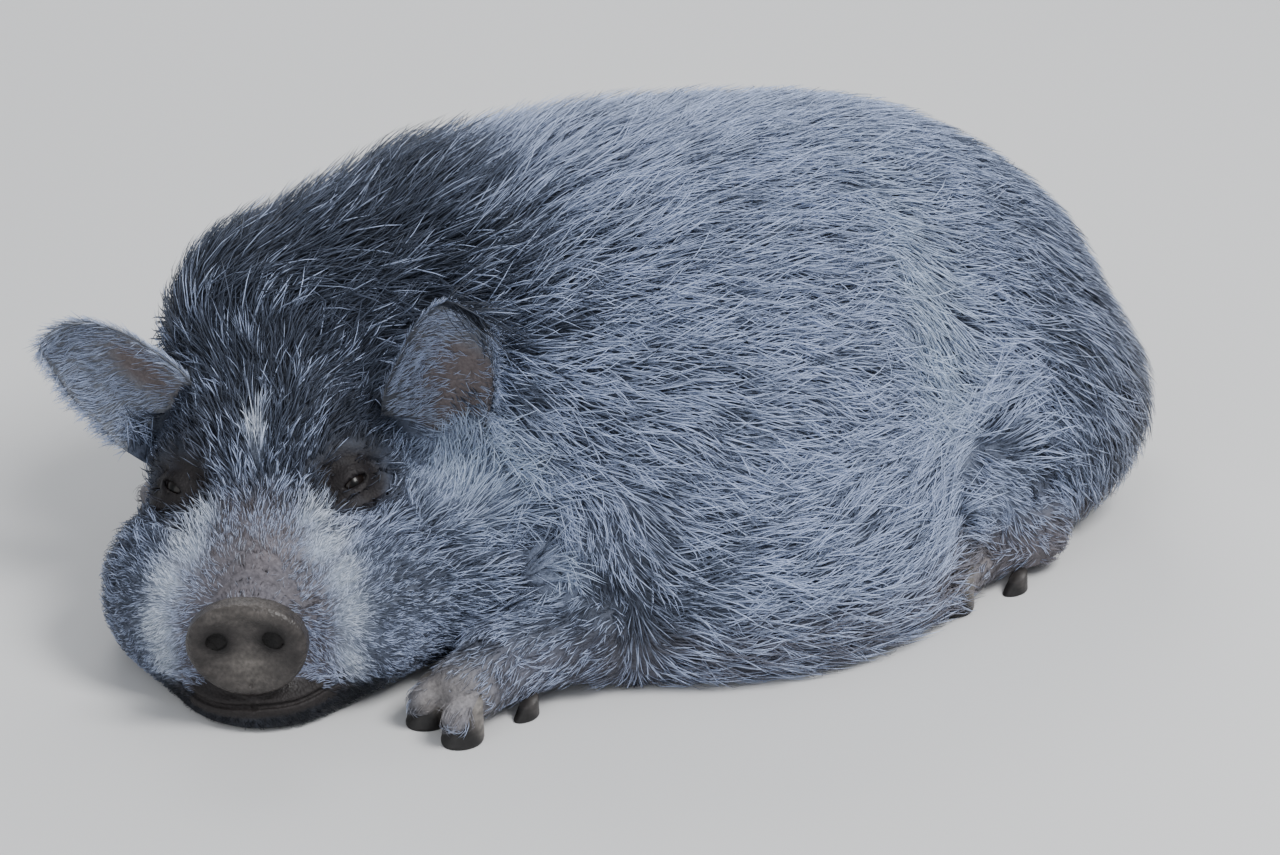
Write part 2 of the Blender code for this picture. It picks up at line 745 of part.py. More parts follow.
def make_snout(head, parts, cutters):
    """The flat, oval disc of the snout, with two open nostrils."""
    mesh = bmesh.new()
    sides = 20
    rings = []
    for depth, scale in ((-DISC_DEPTH, 0.93), (-0.0035, 1.0), (-0.0010, 0.985), (0.0, 0.90)):
        ring = []
        for index in range(sides):
            across, up = disc_outline(2 * math.pi * index / sides)
            place = from_head((depth, across * scale, DISC_MIDDLE_Z + up * scale))
            ring.append(mesh.verts.new(place))
        rings.append(ring)
    for lower, upper in zip(rings, rings[1:]):
        for index in range(sides):
            after = (index + 1) % sides
            mesh.faces.new((lower[index], lower[after], upper[after], upper[index]))
    for ring, depth in ((rings[0], -DISC_DEPTH), (rings[-1], -DISC_CLEFT)):
        middle = mesh.verts.new(from_head((depth, 0, DISC_MIDDLE_Z)))
        for index in range(sides):
            mesh.faces.new((ring[index], ring[(index + 1) % sides], middle))
    bmesh.ops.recalc_face_normals(mesh, faces=mesh.faces[:])
    snout = mesh_object("snout", mesh, parts)
    room = grown_by(snout, GAP, cutters)
    combined(head, "DIFFERENCE", room)
    bpy.data.objects.remove(room)
    nostrils = []
    for side in (-1, 1):
        centre = from_head((NOSTRIL_AT[0], side * NOSTRIL_AT[1], NOSTRIL_AT[2]))
        nostrils.append(ball_object("nostril", centre, NOSTRIL_RADII, HEAD_AXES, cutters, 10, 6))
    return cut_by(snout, nostrils)


def make_mouth(head, cutters):
    """The line of the mouth, from below the disc back along each side of the muzzle, between two lips."""
    masses = face_masses()
    for side in (-1, 1):
        path = smooth_path([from_head((x, side * y, z)) for x, y, z in MOUTH_ROUTE], 9)
        path = onto_flesh(path, masses)
        up = HEAD_AXES[:, 2]
        for shift, radius in LIPS:
            lip = tube_object("lip", path + up * shift, np.linspace(radius, 0.4 * radius, 9), cutters, 1)
            combined(head, "UNION", lip)
            bpy.data.objects.remove(lip)
        groove = tube_object("groove", path, np.linspace(*MOUTH_DEPTHS, 9), cutters, 1)
        cut_by(head, [groove])
    return head


def make_ear(side, parts):
    """A short upright ear: a curved leaf, cupped forward and outward, thinner to its rim."""
    name = "ear_left" if side > 0 else "ear_right"
    base, tip = from_head(EARS[side][0]), from_head(EARS[side][1])
    ear_length, sideways = EARS[side][2:]
    along = (tip - base) / np.linalg.norm(tip - base)
    opening = HEAD_AXES @ np.array((0.86, sideways, 0.30))
    opening -= along * (opening @ along)
    opening /= np.linalg.norm(opening)
    across = np.cross(opening, along) * side
    mesh = bmesh.new()
    rows = 9
    columns = 9
    sheets = []
    for thick in (0.5, -0.5):
        grid = []
        for row in range(rows):
            up = row / (rows - 1)
            half = 0.5 * EAR_WIDTH * math.sqrt(math.sin(math.pi * (0.28 + 0.68 * up)))
            line = []
            for column in range(columns):
                share = 2 * column / (columns - 1) - 1
                bend = 0.95 - 0.40 * up
                sweep = share * bend
                wide = half * math.sin(sweep) / math.sin(bend)
                cup = half * (1 - math.cos(sweep)) * 0.9
                wall = EAR_THICKNESS * (1 - 0.45 * abs(share)) * (1 - 0.35 * up) * thick
                height = (up * 1.22 - 0.22) * ear_length + 0.004 * math.cos(sweep)
                back = -0.006 * math.sin(math.pi * up)
                place = base + along * height + across * wide + opening * (cup + back + wall)
                line.append(mesh.verts.new(place))
            grid.append(line)
        sheets.append(grid)
    front, back = sheets
    for row in range(rows - 1):
        for column in range(columns - 1):
            for grid in sheets:
                corners = (grid[row][column], grid[row][column + 1], grid[row + 1][column + 1])
                mesh.faces.new(corners)
                mesh.faces.new((grid[row][column], grid[row + 1][column + 1], grid[row + 1][column]))
    edge = [(row, 0) for row in range(rows)] + [(rows - 1, column) for column in range(1, columns)]
    edge += [(row, columns - 1) for row in range(rows - 2, -1, -1)] + [(0, c) for c in range(columns - 2, 0, -1)]
    for (row, column), (next_row, next_column) in zip(edge, edge[1:] + edge[:1]):
        mesh.faces.new(
            (front[row][column], front[next_row][next_column], back[next_row][next_column], back[row][column])
        )
    bmesh.ops.triangulate(mesh, faces=mesh.faces[:])
    bmesh.ops.recalc_face_normals(mesh, faces=mesh.faces[:])
    return mesh_object(name, mesh, parts)


def make_hoof(name, heel, tip, width, height, parts, segments=2):
    """One toe's hoof: a wedge with a rounded wall, flat on the floor, from its heel to its tip."""
    heel = Vector(heel)
    forward = Vector(tip) - heel
    length = forward.length
    mesh = bmesh.new()
    bmesh.ops.create_cube(mesh, size=1)
    for vertex in mesh.verts:
        ahead = vertex.co.x > 0
        high = vertex.co.z > 0
        vertex.co.x = length * ((0.72 if high else 1.0) if ahead else (0.06 if high else 0.0))
        vertex.co.y *= width * (0.62 if ahead else 1.0) * (0.86 if high else 1.0)
        vertex.co.z = height * ((0.55 if ahead else 1.0) if high else 0.0)
    turn = Matrix.Rotation(math.atan2(forward.y, forward.x), 4, "Z")
    bmesh.ops.transform(mesh, matrix=Matrix.Translation((heel.x, heel.y, 0)) @ turn, verts=mesh.verts[:])
    hoof = mesh_object(name, mesh, parts)
    return applied(hoof, [("BEVEL", {"width": 0.16 * width, "segments": segments}), ("TRIANGULATE", {})])


def make_foot(name, leg, masses, parts):
    """Two hooves and two dewclaws at the end of a leg."""
    last = masses[-1]
    way = np.array((*(last.end - last.start)[:2], 0))
    way /= np.linalg.norm(way)
    beside = np.array((-way[1], way[0], 0))
    front = np.array((last.end[0], last.end[1], 0.02)) + way * 0.004
    kept_side(leg, front, -way)
    for side, label in ((-1, "a"), (1, "b")):
        heel = front + way * GAP + beside * side * HOOF_APART / 2
        tip = heel + way * HOOF_LENGTH + beside * side * 0.004
        make_hoof(f"hoof_{name}_{label}", heel, tip, HOOF_WIDTH, HOOF_HEIGHT, parts)
        claw = front - way * DEWCLAW_BEHIND + beside * side * DEWCLAW_APART / 2
        end = claw + way * DEWCLAW_LENGTH
        make_hoof(f"dewclaw_{name}_{label}", claw, end, DEWCLAW_WIDTH, DEWCLAW_HEIGHT, parts, 1)


def make_tail(parts, cutters):
    """A thin, straight tail hanging down the rump, with its tufted tip laid on the floor to the left."""
    route = [(0.280, 0.004, 0.152), (0.303, 0.002, 0.134), (0.317, -0.004, 0.096), (0.321, -0.012, 0.054)]
    route += [(0.321, -0.026, 0.020), (0.318, -0.050, 0.0075), (0.309, -0.078, 0.0055)]
    path = smooth_path(route, 17)
    radii = np.linspace(0.0105, 0.0045, 17)
    path[:, 2] = np.maximum(path[:, 2], radii + 0.0004)
    tail = tube_object("tail", path, radii, parts)
    draw = random.Random(TAIL_SEED)
    for index in range(TAIL_LOCKS):
        fan = math.radians(-36 + 72 * index / (TAIL_LOCKS - 1))
        root = path[-2] + np.array((0, 0, 0.0005))
        way = turned(fan) @ np.array((-0.15, -1.0, 0.0))
        reach = TAIL_LOCK_LENGTH * draw.uniform(0.8, 1.1)
        middle = root + way * 0.5 * reach + np.array((0, 0, 0.0005))
        tip = root + way * reach + np.array((0, 0, -0.0025))
        lock = tube_object("tail_lock", [root, middle, tip], [0.0035, 0.0042, 0.0008], cutters, 1)
        combined(tail, "UNION", lock)
        bpy.data.objects.remove(lock)
    return largest_shell(tail)


def make_legs(parts, cutters):
    """The four lower legs with their hooves and dewclaws."""
    legs = {}
    for name, masses in LEGS.items():
        legs[name] = thinned(flesh_object(name, masses, LEG_VOXEL, parts), LEG_TRIANGLES)
        make_foot(name, legs[name], masses, parts)
        claws = [obj for obj in parts.objects if obj.name.startswith("dewclaw_" + name)]
        cut_clear(legs[name], claws, cutters)
    return legs


def cut_clear(obj, others, cutters, gap=GAP):
    """The object cut clear of its neighbours by the gap."""
    for other in others:
        cut_by(obj, [grown_by(other, gap, cutters)])
    return largest_shell(obj)


# Base colour and roughness of each material, and the node names that take it
MATERIALS = {
    "bristly_coat": ((0.085, 0.095, 0.115), 0.75, ("torso", "neck", "head", "thigh", "tail")),
    "leg_skin": ((0.200, 0.180, 0.185), 0.70, ("foreleg", "hindleg")),
    "ear_skin": ((0.190, 0.150, 0.145), 0.65, ("ear",)),
    "snout_skin": ((0.150, 0.125, 0.115), 0.45, ("snout",)),
    "eye": ((0.020, 0.012, 0.008), 0.08, ("eye",)),
    "hoof_horn": ((0.180, 0.165, 0.145), 0.50, ("hoof", "dewclaw")),
}


def material_for(name):
    """The material of a node, from the start of its name."""
    for label, (colour, roughness, starts) in MATERIALS.items():
        if name.startswith(starts):
            material = bpy.data.materials.get(label)
            if material is None:
                material = bpy.data.materials.new(label)
                material.use_nodes = True
                shader = material.node_tree.nodes["Principled BSDF"]
                shader.inputs["Base Color"].default_value = (*colour, 1)
                shader.inputs["Roughness"].default_value = roughness
                shader.inputs["Metallic"].default_value = 0.0
            return material
    raise ValueError(name)


def stand_at_origin(parts):
    """Every part moved so that the middle of the animal's box is over the origin, on the floor."""
    points = np.vstack([coordinates(obj.data) for obj in parts.objects])
    low, high = points.min(0), points.max(0)
    for obj in parts.objects:
        obj.location = (-(low[0] + high[0]) / 2, -(low[1] + high[1]) / 2, -low[2])


def main():
    clear_scene()
    parts = new_collection("pot_bellied_pig")
    cutters = new_collection("cutters")
    flesh, rooms = make_flesh(parts, cutters)
    head = flesh["head"]
    make_mouth(head, cutters)
    make_snout(head, parts, cutters)
    ears = [make_ear(side, parts) for side in (-1, 1)]
    for side in (-1, 1):
        make_eye(side, head, parts, cutters)
    legs = make_legs(parts, cutters)
    tail = make_tail(parts, cutters)
    outer = ears + [tail, legs["foreleg_left"], legs["foreleg_right"]]
    for obj in outer:
        for room in rooms:
            combined(obj, "DIFFERENCE", room)
        largest_shell(obj)
    remove(rooms)
    hind = [obj for obj in parts.objects if "hindleg" in obj.name]
    for name in ("torso", "thigh_left", "thigh_right"):
        side = name.split("_")[-1]
        near = [obj for obj in hind if side in obj.name] if side != "torso" else hind
        cut_clear(flesh[name], near, cutters)
    for name in ("torso", "neck", "head"):
        cut_clear(flesh[name], outer, cutters, 0.8 * GAP)
    stand_at_origin(parts)
    for obj in parts.objects:
        without_slivers(obj)
        obj.data.materials.clear()
        obj.data.materials.append(material_for(obj.name))
        obj.data.shade_smooth()
        obj.data.set_sharp_from_angle(angle=math.radians(50))


main()
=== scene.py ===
"""The looks of a life-size Vietnamese pot-bellied pig that lies on its belly, its head turned left.

The skin is one mesh drawn onto a blended field of named masses, much like those of the solids.
The bristly coat is thin, flat tufts grown from the skin along its lie. The floor is a plain stage.
"""

import math

import bmesh
import bpy
import numpy as np
from mathutils import Euler, Matrix, Vector, kdtree


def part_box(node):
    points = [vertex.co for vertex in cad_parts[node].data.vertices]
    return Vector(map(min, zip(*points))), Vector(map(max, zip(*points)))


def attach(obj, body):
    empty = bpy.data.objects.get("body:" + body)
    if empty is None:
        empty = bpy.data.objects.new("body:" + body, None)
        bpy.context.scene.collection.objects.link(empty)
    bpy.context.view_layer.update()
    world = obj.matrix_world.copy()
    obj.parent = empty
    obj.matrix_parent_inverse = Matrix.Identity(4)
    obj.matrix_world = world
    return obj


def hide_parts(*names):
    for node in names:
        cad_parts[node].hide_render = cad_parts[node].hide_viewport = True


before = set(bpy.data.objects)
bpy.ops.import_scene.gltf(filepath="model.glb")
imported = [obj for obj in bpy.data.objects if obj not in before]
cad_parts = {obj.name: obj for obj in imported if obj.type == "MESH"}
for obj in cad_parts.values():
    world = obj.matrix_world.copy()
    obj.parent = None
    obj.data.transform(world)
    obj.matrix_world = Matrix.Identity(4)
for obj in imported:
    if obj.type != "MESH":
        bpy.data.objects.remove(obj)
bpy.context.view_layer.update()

# Driving dimensions
TRUNK_WIDTH = 0.422
TRUNK_HEIGHT = 0.267
HEAD_WIDTH = 0.194
DISC_WIDTH = 0.074
DISC_HEIGHT = 0.064
DISC_DEPTH = 0.013
DISC_MIDDLE_Z = 0.056
EYE_RADIUS = 0.0105
HOOF_LENGTH = 0.036
EAR_WIDTH = 0.068
EAR_THICKNESS = 0.0040
GAP = 0.0003

# The head's own frame has x forward to the disc, y to its left and z up
HEAD_AT = (-0.332, -0.128, 0.0)
HEAD_YAW = math.radians(180 + 58.4)
HEAD_PITCH = math.radians(1.5)
HEAD_ROLL = math.radians(4.7)
EYE_AT = (-0.119, 0.053, 0.103)
STAR_AT = (-0.121, -0.003, 0.135)
# Each ear's base, tip, length and how far its cup faces sideways, the right one first
EARS = {
    -1: ((-0.176, -0.070, 0.126), (-0.152, -0.130, 0.209), 0.094, -0.22),
    1: ((-0.163, 0.100, 0.114), (-0.139, 0.137, 0.220), 0.106, -0.12),
}

# Mesh fineness, the flesh's roundness at the floor, and how far beyond its reach a form still blends
BODY_VOXEL = 0.0040
FLOOR_BLEND = 0.004
FORM_MARGIN = 0.012
FAR = 10.0
TUFT_SHARE = 1.0


def turned(yaw, pitch=0.0, roll=0.0):
    return np.array(Euler((roll, pitch, yaw), "XYZ").to_matrix())


HEAD_AXES = turned(HEAD_YAW, HEAD_PITCH, HEAD_ROLL)


def from_head(points):
    """Points of the head's own frame, in the animal's frame."""
    return np.asarray(points, float) @ HEAD_AXES.T + np.array(HEAD_AT)


def to_head(points):
    return (points - np.array(HEAD_AT)) @ HEAD_AXES


def unit(vectors):
    return vectors / np.maximum(np.linalg.norm(vectors, axis=-1, keepdims=True), 1e-9)


def smooth_step(values, start, end):
    share = np.clip((values - start) / (end - start), 0, 1)
    return share * share * (3 - 2 * share)


def smooth_min(first, second, blend):
    share = np.clip(0.5 + 0.5 * (second - first) / blend, 0, 1)
    return second + (first - second) * share - blend * share * (1 - share)


def blended(value, target, share):
    """The value, drawn towards the target by a share."""
    return value * (1 - share) + np.asarray(target) * share


def flattened(ways, up):
    """The ways without what points along up."""
    return ways - up * np.sum(ways * up, axis=1)[:, None]


def folded_head(points):
    """The points in the head's own frame, and the same with its right side folded onto its left."""
    local = to_head(points)
    return local, np.stack([local[:, 0], np.abs(local[:, 1]), local[:, 2]], 1)


def eye_distance(folded):
    return np.linalg.norm(folded - np.array(EYE_AT), axis=1)


class Ball:
    """An ellipsoid of flesh: its centre, its three radii and the way it is turned."""

    def __init__(self, centre, radii, yaw=0.0, blend=0.03, axes=None, carve=False):
        self.centre = np.array(centre, float)
        self.radii = np.array(radii, float)
        self.axes = turned(math.radians(yaw)) if axes is None else axes
        self.blend = blend
        self.carve = carve
        self.middle = self.centre
        self.reach = float(self.radii.max())

    def distance(self, points):
        local = (points - self.centre) @ self.axes
        size = np.linalg.norm(local / self.radii, axis=1)
        slope = np.linalg.norm(local / self.radii**2, axis=1)
        return size * (size - 1) / np.maximum(slope, 1e-9)

    def add_to(self, mesh):
        matrix = Matrix(self.axes).to_4x4() @ Matrix.Diagonal((*self.radii, 1))
        matrix.translation = Vector(self.centre)
        bmesh.ops.create_uvsphere(mesh, u_segments=32, v_segments=18, radius=1, matrix=matrix)


class Cord:
    """A tapered length of flesh along a path, round at both ends. Carved, it is a crease."""

    def __init__(self, path, radii, blend=0.02, carve=False):
        self.path = np.array(path, float)
        self.radii = np.array(radii, float)
        self.blend = blend
        self.carve = carve
        self.middle = self.path.mean(0)
        self.reach = float(np.linalg.norm(self.path - self.middle, axis=1).max() + self.radii.max())

    def distance(self, points):
        nearest = np.full(len(points), FAR)
        for index in range(len(self.path) - 1):
            start, along = self.path[index], self.path[index + 1] - self.path[index]
            share = np.clip((points - start) @ along / (along @ along), 0, 1)
            radius = self.radii[index] + (self.radii[index + 1] - self.radii[index]) * share
            away = np.linalg.norm(points - (start + share[:, None] * along), axis=1) - radius
            nearest = np.minimum(nearest, away)
        return nearest

    def add_to(self, mesh):
        for index in range(len(self.path) - 1):
            start, end = self.path[index], self.path[index + 1]
            radii = self.radii[index : index + 2]
            count = max(1, round(float(np.linalg.norm(end - start)) / radii.min()))
            for share in np.linspace(0, 1, count + 1):
                radius = radii[0] + (radii[1] - radii[0]) * share
                matrix = Matrix.Translation(Vector(start + (end - start) * share)) @ Matrix.Scale(radius, 4)
                bmesh.ops.create_uvsphere(mesh, u_segments=16, v_segments=10, radius=1, matrix=matrix)


def head_ball(centre, radii, blend=0.02, carve=False, roll=0.0):
    tilt = turned(0.0, 0.0, math.radians(roll))
    return Ball(from_head(centre), radii, blend=blend, axes=HEAD_AXES @ tilt, carve=carve)


def trunk_masses():
    half = TRUNK_WIDTH / 2
    return [
        Ball((0.018, -0.018, 0.036), (0.205, half, 0.120), blend=0.05),
        Ball((0.022, 0, 0.49 * TRUNK_HEIGHT), (0.178, 0.90 * half, 0.51 * TRUNK_HEIGHT), blend=0.04),
        Ball((-0.045, 0.028, 0.130), (0.114, 0.156, 0.124), blend=0.035),
        Ball((0.176, 0, 0.098), (0.138, 0.150, 0.116), blend=0.05),
        Ball((0.124, 0, 0.124), (0.134, 0.140, 0.126), blend=0.05),
        Ball((-0.165, -0.035, 0.050), (0.100, 0.105, 0.056), blend=0.03),
        Cord([(-0.120, 0.076, 0.144), (-0.212, 0.088, 0.140)], (0.105, 0.080), blend=0.035),
        Ball((0.200, -0.092, 0.074), (0.104, 0.072, 0.084), yaw=-8, blend=0.03),
        Ball((0.200, 0.092, 0.074), (0.104, 0.072, 0.084), yaw=8, blend=0.03),
    ]


def head_masses():
    half = HEAD_WIDTH / 2
    return [
        head_ball((-0.170, 0, 0.100), (0.060, 0.070, 0.060), blend=0.03),
        head_ball((-0.108, 0, 0.074), (0.054, 0.052, 0.040), blend=0.025),
        head_ball((-0.066, 0, 0.055), (0.056, 0.040, 0.033)),
        head_ball((-0.062, 0, 0.010), (0.064, 0.060, 0.032)),
        head_ball((-0.104, 0.041 - half, 0.042), (0.070, 0.047, 0.051), blend=0.025),
        head_ball((-0.091, half - 0.034, 0.038), (0.069, 0.049, 0.047), blend=0.025),
        *(head_ball((-0.146, side * 0.045, 0.092), (0.036, 0.028, 0.028)) for side in (-1, 1)),
    ]


# Each leg's joints: a foreleg's elbow, wrist and foot, and a hind leg's hock and foot
FORELEGS = {
    "foreleg_left": (-1, (-0.105, -0.158, 0.036), (-0.185, -0.163, 0.026), (-0.212, -0.172, 0.022)),
    "foreleg_right": (1, (-0.118, 0.150, 0.036), (-0.215, 0.148, 0.026), (-0.262, 0.140, 0.022)),
}
HINDLEGS = {
    "hindleg_left": (-1, (0.190, -0.160, 0.027), (0.134, -0.172, 0.021)),
    "hindleg_right": (1, (0.190, 0.160, 0.027), (0.134, 0.172, 0.021)),
}
LEG_COAT = 0.0025


def toe_cords(joint, foot):
    """The flesh of a foot's two toes, over the heels of their hooves."""
    foot = np.array(foot)
    way = unit((foot - np.array(joint)) * (1, 1, 0))
    beside = np.array((-way[1], way[0], 0))
    cords = []
    for side in (-1, 1):
        start = foot + beside * side * 0.0105
        end = foot + way * 0.022 + beside * side * 0.0145 + (0, 0, -0.0060)
        cords.append(Cord([start, end], (0.0125, 0.0098), blend=0.005))
    return cords


def leg_masses():
    """Each leg's cords, under the depth of their short coat."""
    legs = {}
    thin = LEG_COAT
    for name, (side, elbow, wrist, foot) in FORELEGS.items():
        shoulder = (elbow[0] + 0.020, elbow[1] - side * 0.030, elbow[2] + 0.045)
        legs[name] = [
            Cord([shoulder, elbow], (0.048 - thin, 0.036 - thin), blend=0.030),
            Cord([elbow, wrist], (0.035 - thin, 0.024 - thin), blend=0.018),
            Cord([wrist, foot], (0.023 - thin, 0.022 - thin), blend=0.012),
        ] + toe_cords(wrist, foot)
    for name, (side, hock, foot) in HINDLEGS.items():
        shank = (hock[0] - 0.050, hock[1] - side * 0.004, 0.060)
        legs[name] = [
            Cord([shank, hock], (0.034 - thin, 0.027 - thin), blend=0.020),
            Cord([hock, foot], (0.026 - thin, 0.0195 - thin), blend=0.012),
        ] + toe_cords(hock, foot)
    return legs


def smooth_path(points, count):
    """Points spaced along a Catmull-Rom curve through the given ones."""
    points = np.array(points, float)
    ends = np.vstack([2 * points[0] - points[1], points, 2 * points[-1] - points[-2]])
    path = []
    for position in np.linspace(0, len(points) - 1, count):
        first = min(int(position), len(points) - 2)
        t = position - first
        a, b, c, d = ends[first : first + 4]
        square, cube = 2 * a - 5 * b + 4 * c - d, 3 * b - a - 3 * c + d
        path.append(0.5 * (2 * b + (c - a) * t + square * t**2 + cube * t**3))
    return np.array(path)


TAIL_ROUTE = [
    (0.280, 0.004, 0.152),
    (0.303, 0.002, 0.134),
    (0.317, -0.004, 0.096),
    (0.321, -0.012, 0.054),
    (0.321, -0.026, 0.020),
    (0.318, -0.050, 0.0075),
    (0.309, -0.078, 0.0055),
]


def tail_cord():
    path = smooth_path(TAIL_ROUTE, 17)
    radii = np.linspace(0.0105, 0.0045, 17)
    path[:, 2] = np.maximum(path[:, 2], radii + 0.0004)
    return Cord(path, radii - 0.0008, blend=0.008)


def field(points, forms):
    """Distance to the blended skin, negative inside, with the floor as a flat underneath."""
    distance = forms[0].distance(points)
    for form in forms[1:]:
        away = np.linalg.norm(points - form.middle, axis=1)
        near = np.flatnonzero(away < form.reach + form.blend + FORM_MARGIN)
        if len(near) == 0:
            continue
        if form.carve:
            distance[near] = -smooth_min(-distance[near], form.distance(points[near]), form.blend)
        else:
            distance[near] = smooth_min(distance[near], form.distance(points[near]), form.blend)
    return -smooth_min(-distance, points[:, 2], FLOOR_BLEND)


def slope_of(points, forms, step=0.0005):
    here = field(points, forms)
    slopes = [(field(points + step * axis, forms) - here) / step for axis in np.eye(3)]
    return here, np.stack(slopes, 1)


def onto_skin(points, forms, rounds=4, height=0.0, longest=0.004):
    """The points moved along the slope of the field to a height over its surface."""
    points = points.copy()
    for _ in range(rounds):
        here, slope = slope_of(points, forms)
        length = np.maximum(np.sum(slope * slope, axis=1), 0.05)
        move = slope * ((height - here) / length)[:, None]
        size = np.linalg.norm(move, axis=1, keepdims=True)
        points += move * np.minimum(1, longest / np.maximum(size, 1e-9))
    return points


def eye_frame(side, forms):
    """Centre of an eyeball and its axes: across, up and outward."""
    place = from_head((EYE_AT[0], side * EYE_AT[1], EYE_AT[2]))
    skin = onto_skin(place[None], forms, 8)[0]
    outward = unit(slope_of(skin[None], forms)[1][0])
    across = unit(np.cross(HEAD_AXES[:, 2], outward))
    axes = np.stack([across, np.cross(outward, across), outward], 1)
    return skin - outward * 0.82 * EYE_RADIUS, axes


class Disc:
    """The flat disc of the snout, with a raised rim and a shallow dish."""

    blend = 0.0035
    carve = False
    reach = 0.045

    def __init__(self):
        self.middle = from_head((-0.5 * DISC_DEPTH, 0, DISC_MIDDLE_Z))

    def distance(self, points):
        local = to_head(points)
        up = (local[:, 2] - DISC_MIDDLE_Z) / (0.5 * DISC_HEIGHT)
        across = local[:, 1] / (0.5 * DISC_WIDTH * (1 + 0.10 * np.clip(up, -1, 1)))
        size = np.sqrt(across**2 + up**2)
        rim = 0.0014 * np.exp(-(((size - 0.84) / 0.13) ** 2))
        dish = 0.0016 * np.clip(1 - (size / 0.8) ** 2, 0, 1)
        round_edge = 0.0042
        front = local[:, 0] - rim + dish + round_edge
        side = (size - 1) * 0.5 * DISC_HEIGHT + round_edge
        back = -local[:, 0] - DISC_DEPTH
        outside = np.sqrt(np.maximum(front, 0) ** 2 + np.maximum(side, 0) ** 2)
        inside = np.minimum(np.maximum(front, side), 0)
        return np.maximum(outside + inside - round_edge, back)

    def add_to(self, mesh):
        matrix = Matrix(HEAD_AXES).to_4x4() @ Matrix.Rotation(math.radians(90), 4, "Y")
        matrix.translation = Vector(self.middle)
        stretch = Matrix.Diagonal((DISC_HEIGHT / DISC_WIDTH, 1, 1, 1))
        bmesh.ops.create_cone(
            mesh, cap_ends=True, segments=48, radius1=0.5 * DISC_WIDTH, radius2=0.5 * DISC_WIDTH,
            depth=DISC_DEPTH, matrix=matrix @ stretch,
        )


def face_path(points, side, count, forms):
    """A path over the face from places in the head's frame, drawn onto the skin."""
    return onto_skin(smooth_path([from_head((x, side * y, z)) for x, y, z in points], count), forms, 8)


def tapered(count):
    """Shares of a fold's radius along it, thin at both ends."""
    return np.sin(np.linspace(0.25, math.pi - 0.25, count))


# Folds and creases of one side of the face, round the eye and down the cheek
# Each has a radius, a blend, whether it is carved, how deep it is sunk, and a path in the head's frame
FACE_FOLDS = (
    (0.0080, 0.010, False, 0.0040,
     ((-0.116, 0.026, 0.118), (-0.126, 0.044, 0.123), (-0.138, 0.064, 0.117), (-0.144, 0.076, 0.100))),
    (0.0016, 0.0040, True, 0.0002,
     ((-0.106, 0.033, 0.103), (-0.117, 0.048, 0.1125), (-0.130, 0.063, 0.110), (-0.137, 0.072, 0.099))),
    (0.0042, 0.006, False, 0.0020,
     ((-0.102, 0.036, 0.096), (-0.106, 0.050, 0.0895), (-0.117, 0.063, 0.0895), (-0.130, 0.072, 0.094))),
    (0.0014, 0.0045, True, 0.0000,
     ((-0.096, 0.035, 0.091), (-0.099, 0.050, 0.082), (-0.112, 0.066, 0.081), (-0.128, 0.076, 0.088))),
    (0.0014, 0.0060, True, 0.0003,
     ((-0.086, 0.038, 0.084), (-0.090, 0.054, 0.073), (-0.106, 0.070, 0.071), (-0.124, 0.080, 0.079))),
    (0.0018, 0.0120, True, 0.0006, ((-0.142, 0.076, 0.090), (-0.128, 0.086, 0.068), (-0.110, 0.092, 0.050))),
    (0.0020, 0.0140, True, 0.0006, ((-0.160, 0.078, 0.080), (-0.156, 0.090, 0.056), (-0.140, 0.098, 0.030))),
)
# Each wrinkle over the bridge: how far back, its half width and its radius
WRINKLES = (
    (-0.021, 0.030, 0.0010), (-0.031, 0.028, 0.0010), (-0.043, 0.024, 0.0009), (-0.056, 0.020, 0.0008),
)
MOUTH_ROUTE = [(0.006, 0.0, 0.020), (0.002, 0.028, 0.020), (-0.016, 0.050, 0.021), (-0.044, 0.063, 0.021)]
# Each lip: how far from the line of the mouth, and its radius
LIPS = ((0.0030, 0.0017), (-0.0030, 0.0016))
LIP_SINK = 0.0012
MOUTH_STEPS = 14
SOCKET_OUT, SOCKET_RADII = 0.022, (0.025, 0.020, 0.0205)
LID_THICKNESS = 0.0028
EYE_OPENING = (0.0088, 0.0027, 0.0090)
EYE_TILT = 10


